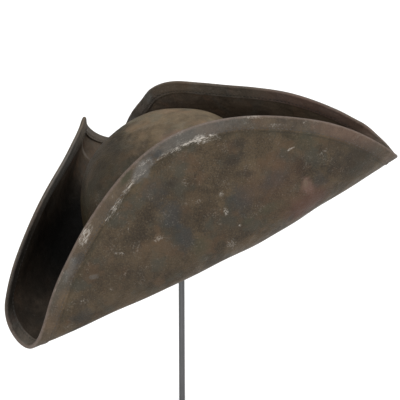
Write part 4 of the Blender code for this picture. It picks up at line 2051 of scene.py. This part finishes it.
# On the brim's inner face. The near-black patches on the far flap are painted shade in its hollow, and the
# pale streak down the spout's crease is a painted highlight of its ridge. The two on the back flap are sandy
# and tan patches.
INSIDE_STAINS_AND_PAINTED_LIGHT = (
    StainOrPaintedLight(Tint.BLACK, 0.005, 0.113, 0.115, 0.072, 1.00, flap=Flap.FAR, ragged=0.4),
    StainOrPaintedLight(Tint.BLACK, 0.080, 0.140, 0.090, 0.064, 0.86, flap=Flap.FAR, ragged=0.4),
    StainOrPaintedLight(Tint.BLACK, 0.160, 0.115, 0.045, 0.045, 0.70, flap=Flap.FAR, ragged=0.4),
    StainOrPaintedLight(Tint.BLACK, 0.045, 0.185, 0.070, 0.020, 0.45, flap=Flap.FAR, ragged=0.5),
    # Painted highlight along the ridge of the spout's crease
    RubOrHighlight(-0.112, 0.152, 0.026, 0.0030, 0.32, turn_deg=75, flap=Flap.FAR, ragged=0.3),
    StainOrPaintedLight(Tint.BLACK, -0.050, 0.137, 0.034, 0.026, 0.60, flap=Flap.FAR, ragged=0.6),
    StainOrPaintedLight(Tint.SAND, -0.095, 0.185, 0.060, 0.024, 0.30, turn_deg=22, flap=Flap.BACK, ragged=1.0),
    StainOrPaintedLight(Tint.TAN, 0.010, 0.195, 0.060, 0.016, 0.20, flap=Flap.BACK, ragged=1.2),
)

HEM_STAINS_AND_PAINTED_SHADE = (
    StainOrPaintedLight(Tint.SAND, -0.120, 0.176, 0.060, 0.034, 0.75, turn_deg=20, flap=Flap.FAR, ragged=0.5),
    StainOrPaintedLight(Tint.STEEL, -0.010, 0.198, 0.085, 0.030, 0.60, flap=Flap.FAR, ragged=0.5),
    StainOrPaintedLight(Tint.PINK, -0.115, 0.195, 0.090, 0.040, 0.45, turn_deg=37, flap=Flap.BACK, ragged=0.9),
    StainOrPaintedLight(Tint.TAN, 0.060, 0.232, 0.050, 0.020, 0.40, flap=Flap.BACK, ragged=1.2),
    # Painted shade: the near-black patch darkens the far flap's hem in the shade of its hollow
    StainOrPaintedLight(Tint.BLACK, 0.125, 0.168, 0.085, 0.055, 0.80, turn_deg=-30, flap=Flap.FAR, ragged=0.5),
)

CROWN_STAINS = (
    StainOrPaintedLight(Tint.TAN, 0.010, 0.010, 0.050, 0.045, 0.25, ragged=1.6),
    StainOrPaintedLight(Tint.SAND, 0.000, -0.010, 0.014, 0.005, 0.55, turn_deg=20),
    StainOrPaintedLight(Tint.PINK, 0.012, 0.030, 0.014, 0.012, 0.32, ragged=1.8),
    StainOrPaintedLight(Tint.RUST, 0.045, 0.032, 0.014, 0.010, 0.40, ragged=1.6),
    StainOrPaintedLight(Tint.MOSS, -0.030, 0.060, 0.022, 0.018, 0.40),
    StainOrPaintedLight(Tint.DARK, 0.020, 0.075, 0.022, 0.012, 0.40),
    StainOrPaintedLight(Tint.MOSS, 0.060, 0.060, 0.016, 0.016, 0.50),
)


def outer_leather() -> Leather:
    """Worn brown leather of the brim's outer face."""
    return Leather(
        name="worn brown leather, outer face",
        deep=(0.0125, 0.0085, 0.0045), light=(0.081, 0.0555, 0.0292),
        cool=(0.036, 0.0335, 0.0235), warm=(0.070, 0.0410, 0.0205), worn=(0.120, 0.090, 0.074),
        roughness=0.58, gloss=0.22, bump=0.55, pebbles=820.0, creases=0.35, seed=0.0,
        wear=0.75, dark_rim=0.20, band_depth=0.22, seam_shade=0.40,
        scuff=0.36, scuff_depth=0.24, ridge=0.25,
        patches=NEAR_FLAP_STAINS_AND_PAINTED_LIGHT, rubs=FLAP_RUBS, streaks=RIDGE_STREAKS,
    )


def inner_leather() -> Leather:
    """Dark smoother leather of the brim's inner face."""
    return Leather(
        name="dark brown leather, inner face",
        deep=(0.046, 0.035, 0.026), light=(0.112, 0.085, 0.062),
        cool=(0.074, 0.064, 0.052), warm=(0.110, 0.070, 0.047), worn=(0.05, 0.045, 0.04),
        roughness=0.66, gloss=0.04, bump=0.45, pebbles=900.0, creases=0.25, seed=40.0,
        wear=0.0, wear_elsewhere=0.0, scuff=0.10, patches=INSIDE_STAINS_AND_PAINTED_LIGHT,
    )


def hem_leather() -> Leather:
    """Greyer leather of the turned-over edge."""
    return Leather(
        name="greyed brown leather of the hem",
        deep=(0.041, 0.032, 0.023), light=(0.094, 0.076, 0.058),
        cool=(0.071, 0.066, 0.057), warm=(0.089, 0.060, 0.044), worn=(0.120, 0.090, 0.074),
        roughness=0.60, gloss=0.22, bump=0.50, pebbles=860.0, creases=0.30, seed=0.0,
        wear=0.75, scuff=0.22, patches=HEM_STAINS_AND_PAINTED_SHADE,
    )


def crown_leather() -> Leather:
    """Olive brown leather of the crown."""
    return Leather(
        name="olive brown leather of the crown",
        deep=(0.0115, 0.0082, 0.0038), light=(0.042, 0.0295, 0.0142),
        cool=(0.026, 0.0220, 0.0125), warm=(0.042, 0.0262, 0.0125),
        roughness=0.56, gloss=0.26, bump=0.50, pebbles=840.0, creases=0.30, seed=70.0,
        scuff=0.28, top_wear_and_light=1.0, patches=CROWN_STAINS, flat=False,
    )


def under_leather() -> Leather:
    """Plain rough underside of the crown's leather, seen from below."""
    return Leather(
        name="rough inside of the crown",
        deep=(0.060, 0.043, 0.030), light=(0.110, 0.082, 0.058),
        cool=(0.070, 0.060, 0.048), warm=(0.115, 0.078, 0.052),
        roughness=0.80, gloss=0.15, bump=0.60, pebbles=1500.0, creases=0.10, seed=90.0,
        scuff=0.15, flat=False,
    )


def main() -> None:
    """Builds the hat from the brim inwards, then the stand and the studio."""
    logging.basicConfig(level=logging.INFO, format="%(name)s: %(message)s")
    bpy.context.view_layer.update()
    shape = HatShape()
    effects = Effects.build()
    hem_finish = hem_leather().build(effects)
    Brim(shape, outer_leather(), inner_leather()).dress(effects, hem_finish)
    Hem(shape).dress(hem_finish)
    thread = Thread(rubs=RIDGE_STREAKS[:RUBBED_SEAM_STREAKS])
    hem_thread = Thread("waxed dark thread of the hem", (0.016, 0.013, 0.010), worn=(0.040, 0.034, 0.028))
    hem_top = shape.leather / 2 + shape.seam_gap + shape.hem_leather
    StitchRow("hem_stitches", shape, hem_thread, hem_top, inward=True).dress(effects)
    StitchRow("outer_stitches", shape, thread, shape.leather / 2, inward=False).dress(effects)
    Crown(shape, crown_leather(), under_leather()).dress(effects)
    Stand(
        PaintedMetal("satin dark grey paint", (0.085, 0.085, 0.088), (0.13, 0.13, 0.132)),
        PaintedMetal("satin dark grey rod", (0.08, 0.08, 0.082), (0.12, 0.12, 0.122), metallic=0.55),
    ).dress()
    Studio().build(Vector((0, -shape.rod_setback, shape.opening_height)))


if __name__ == "__main__":
    main()
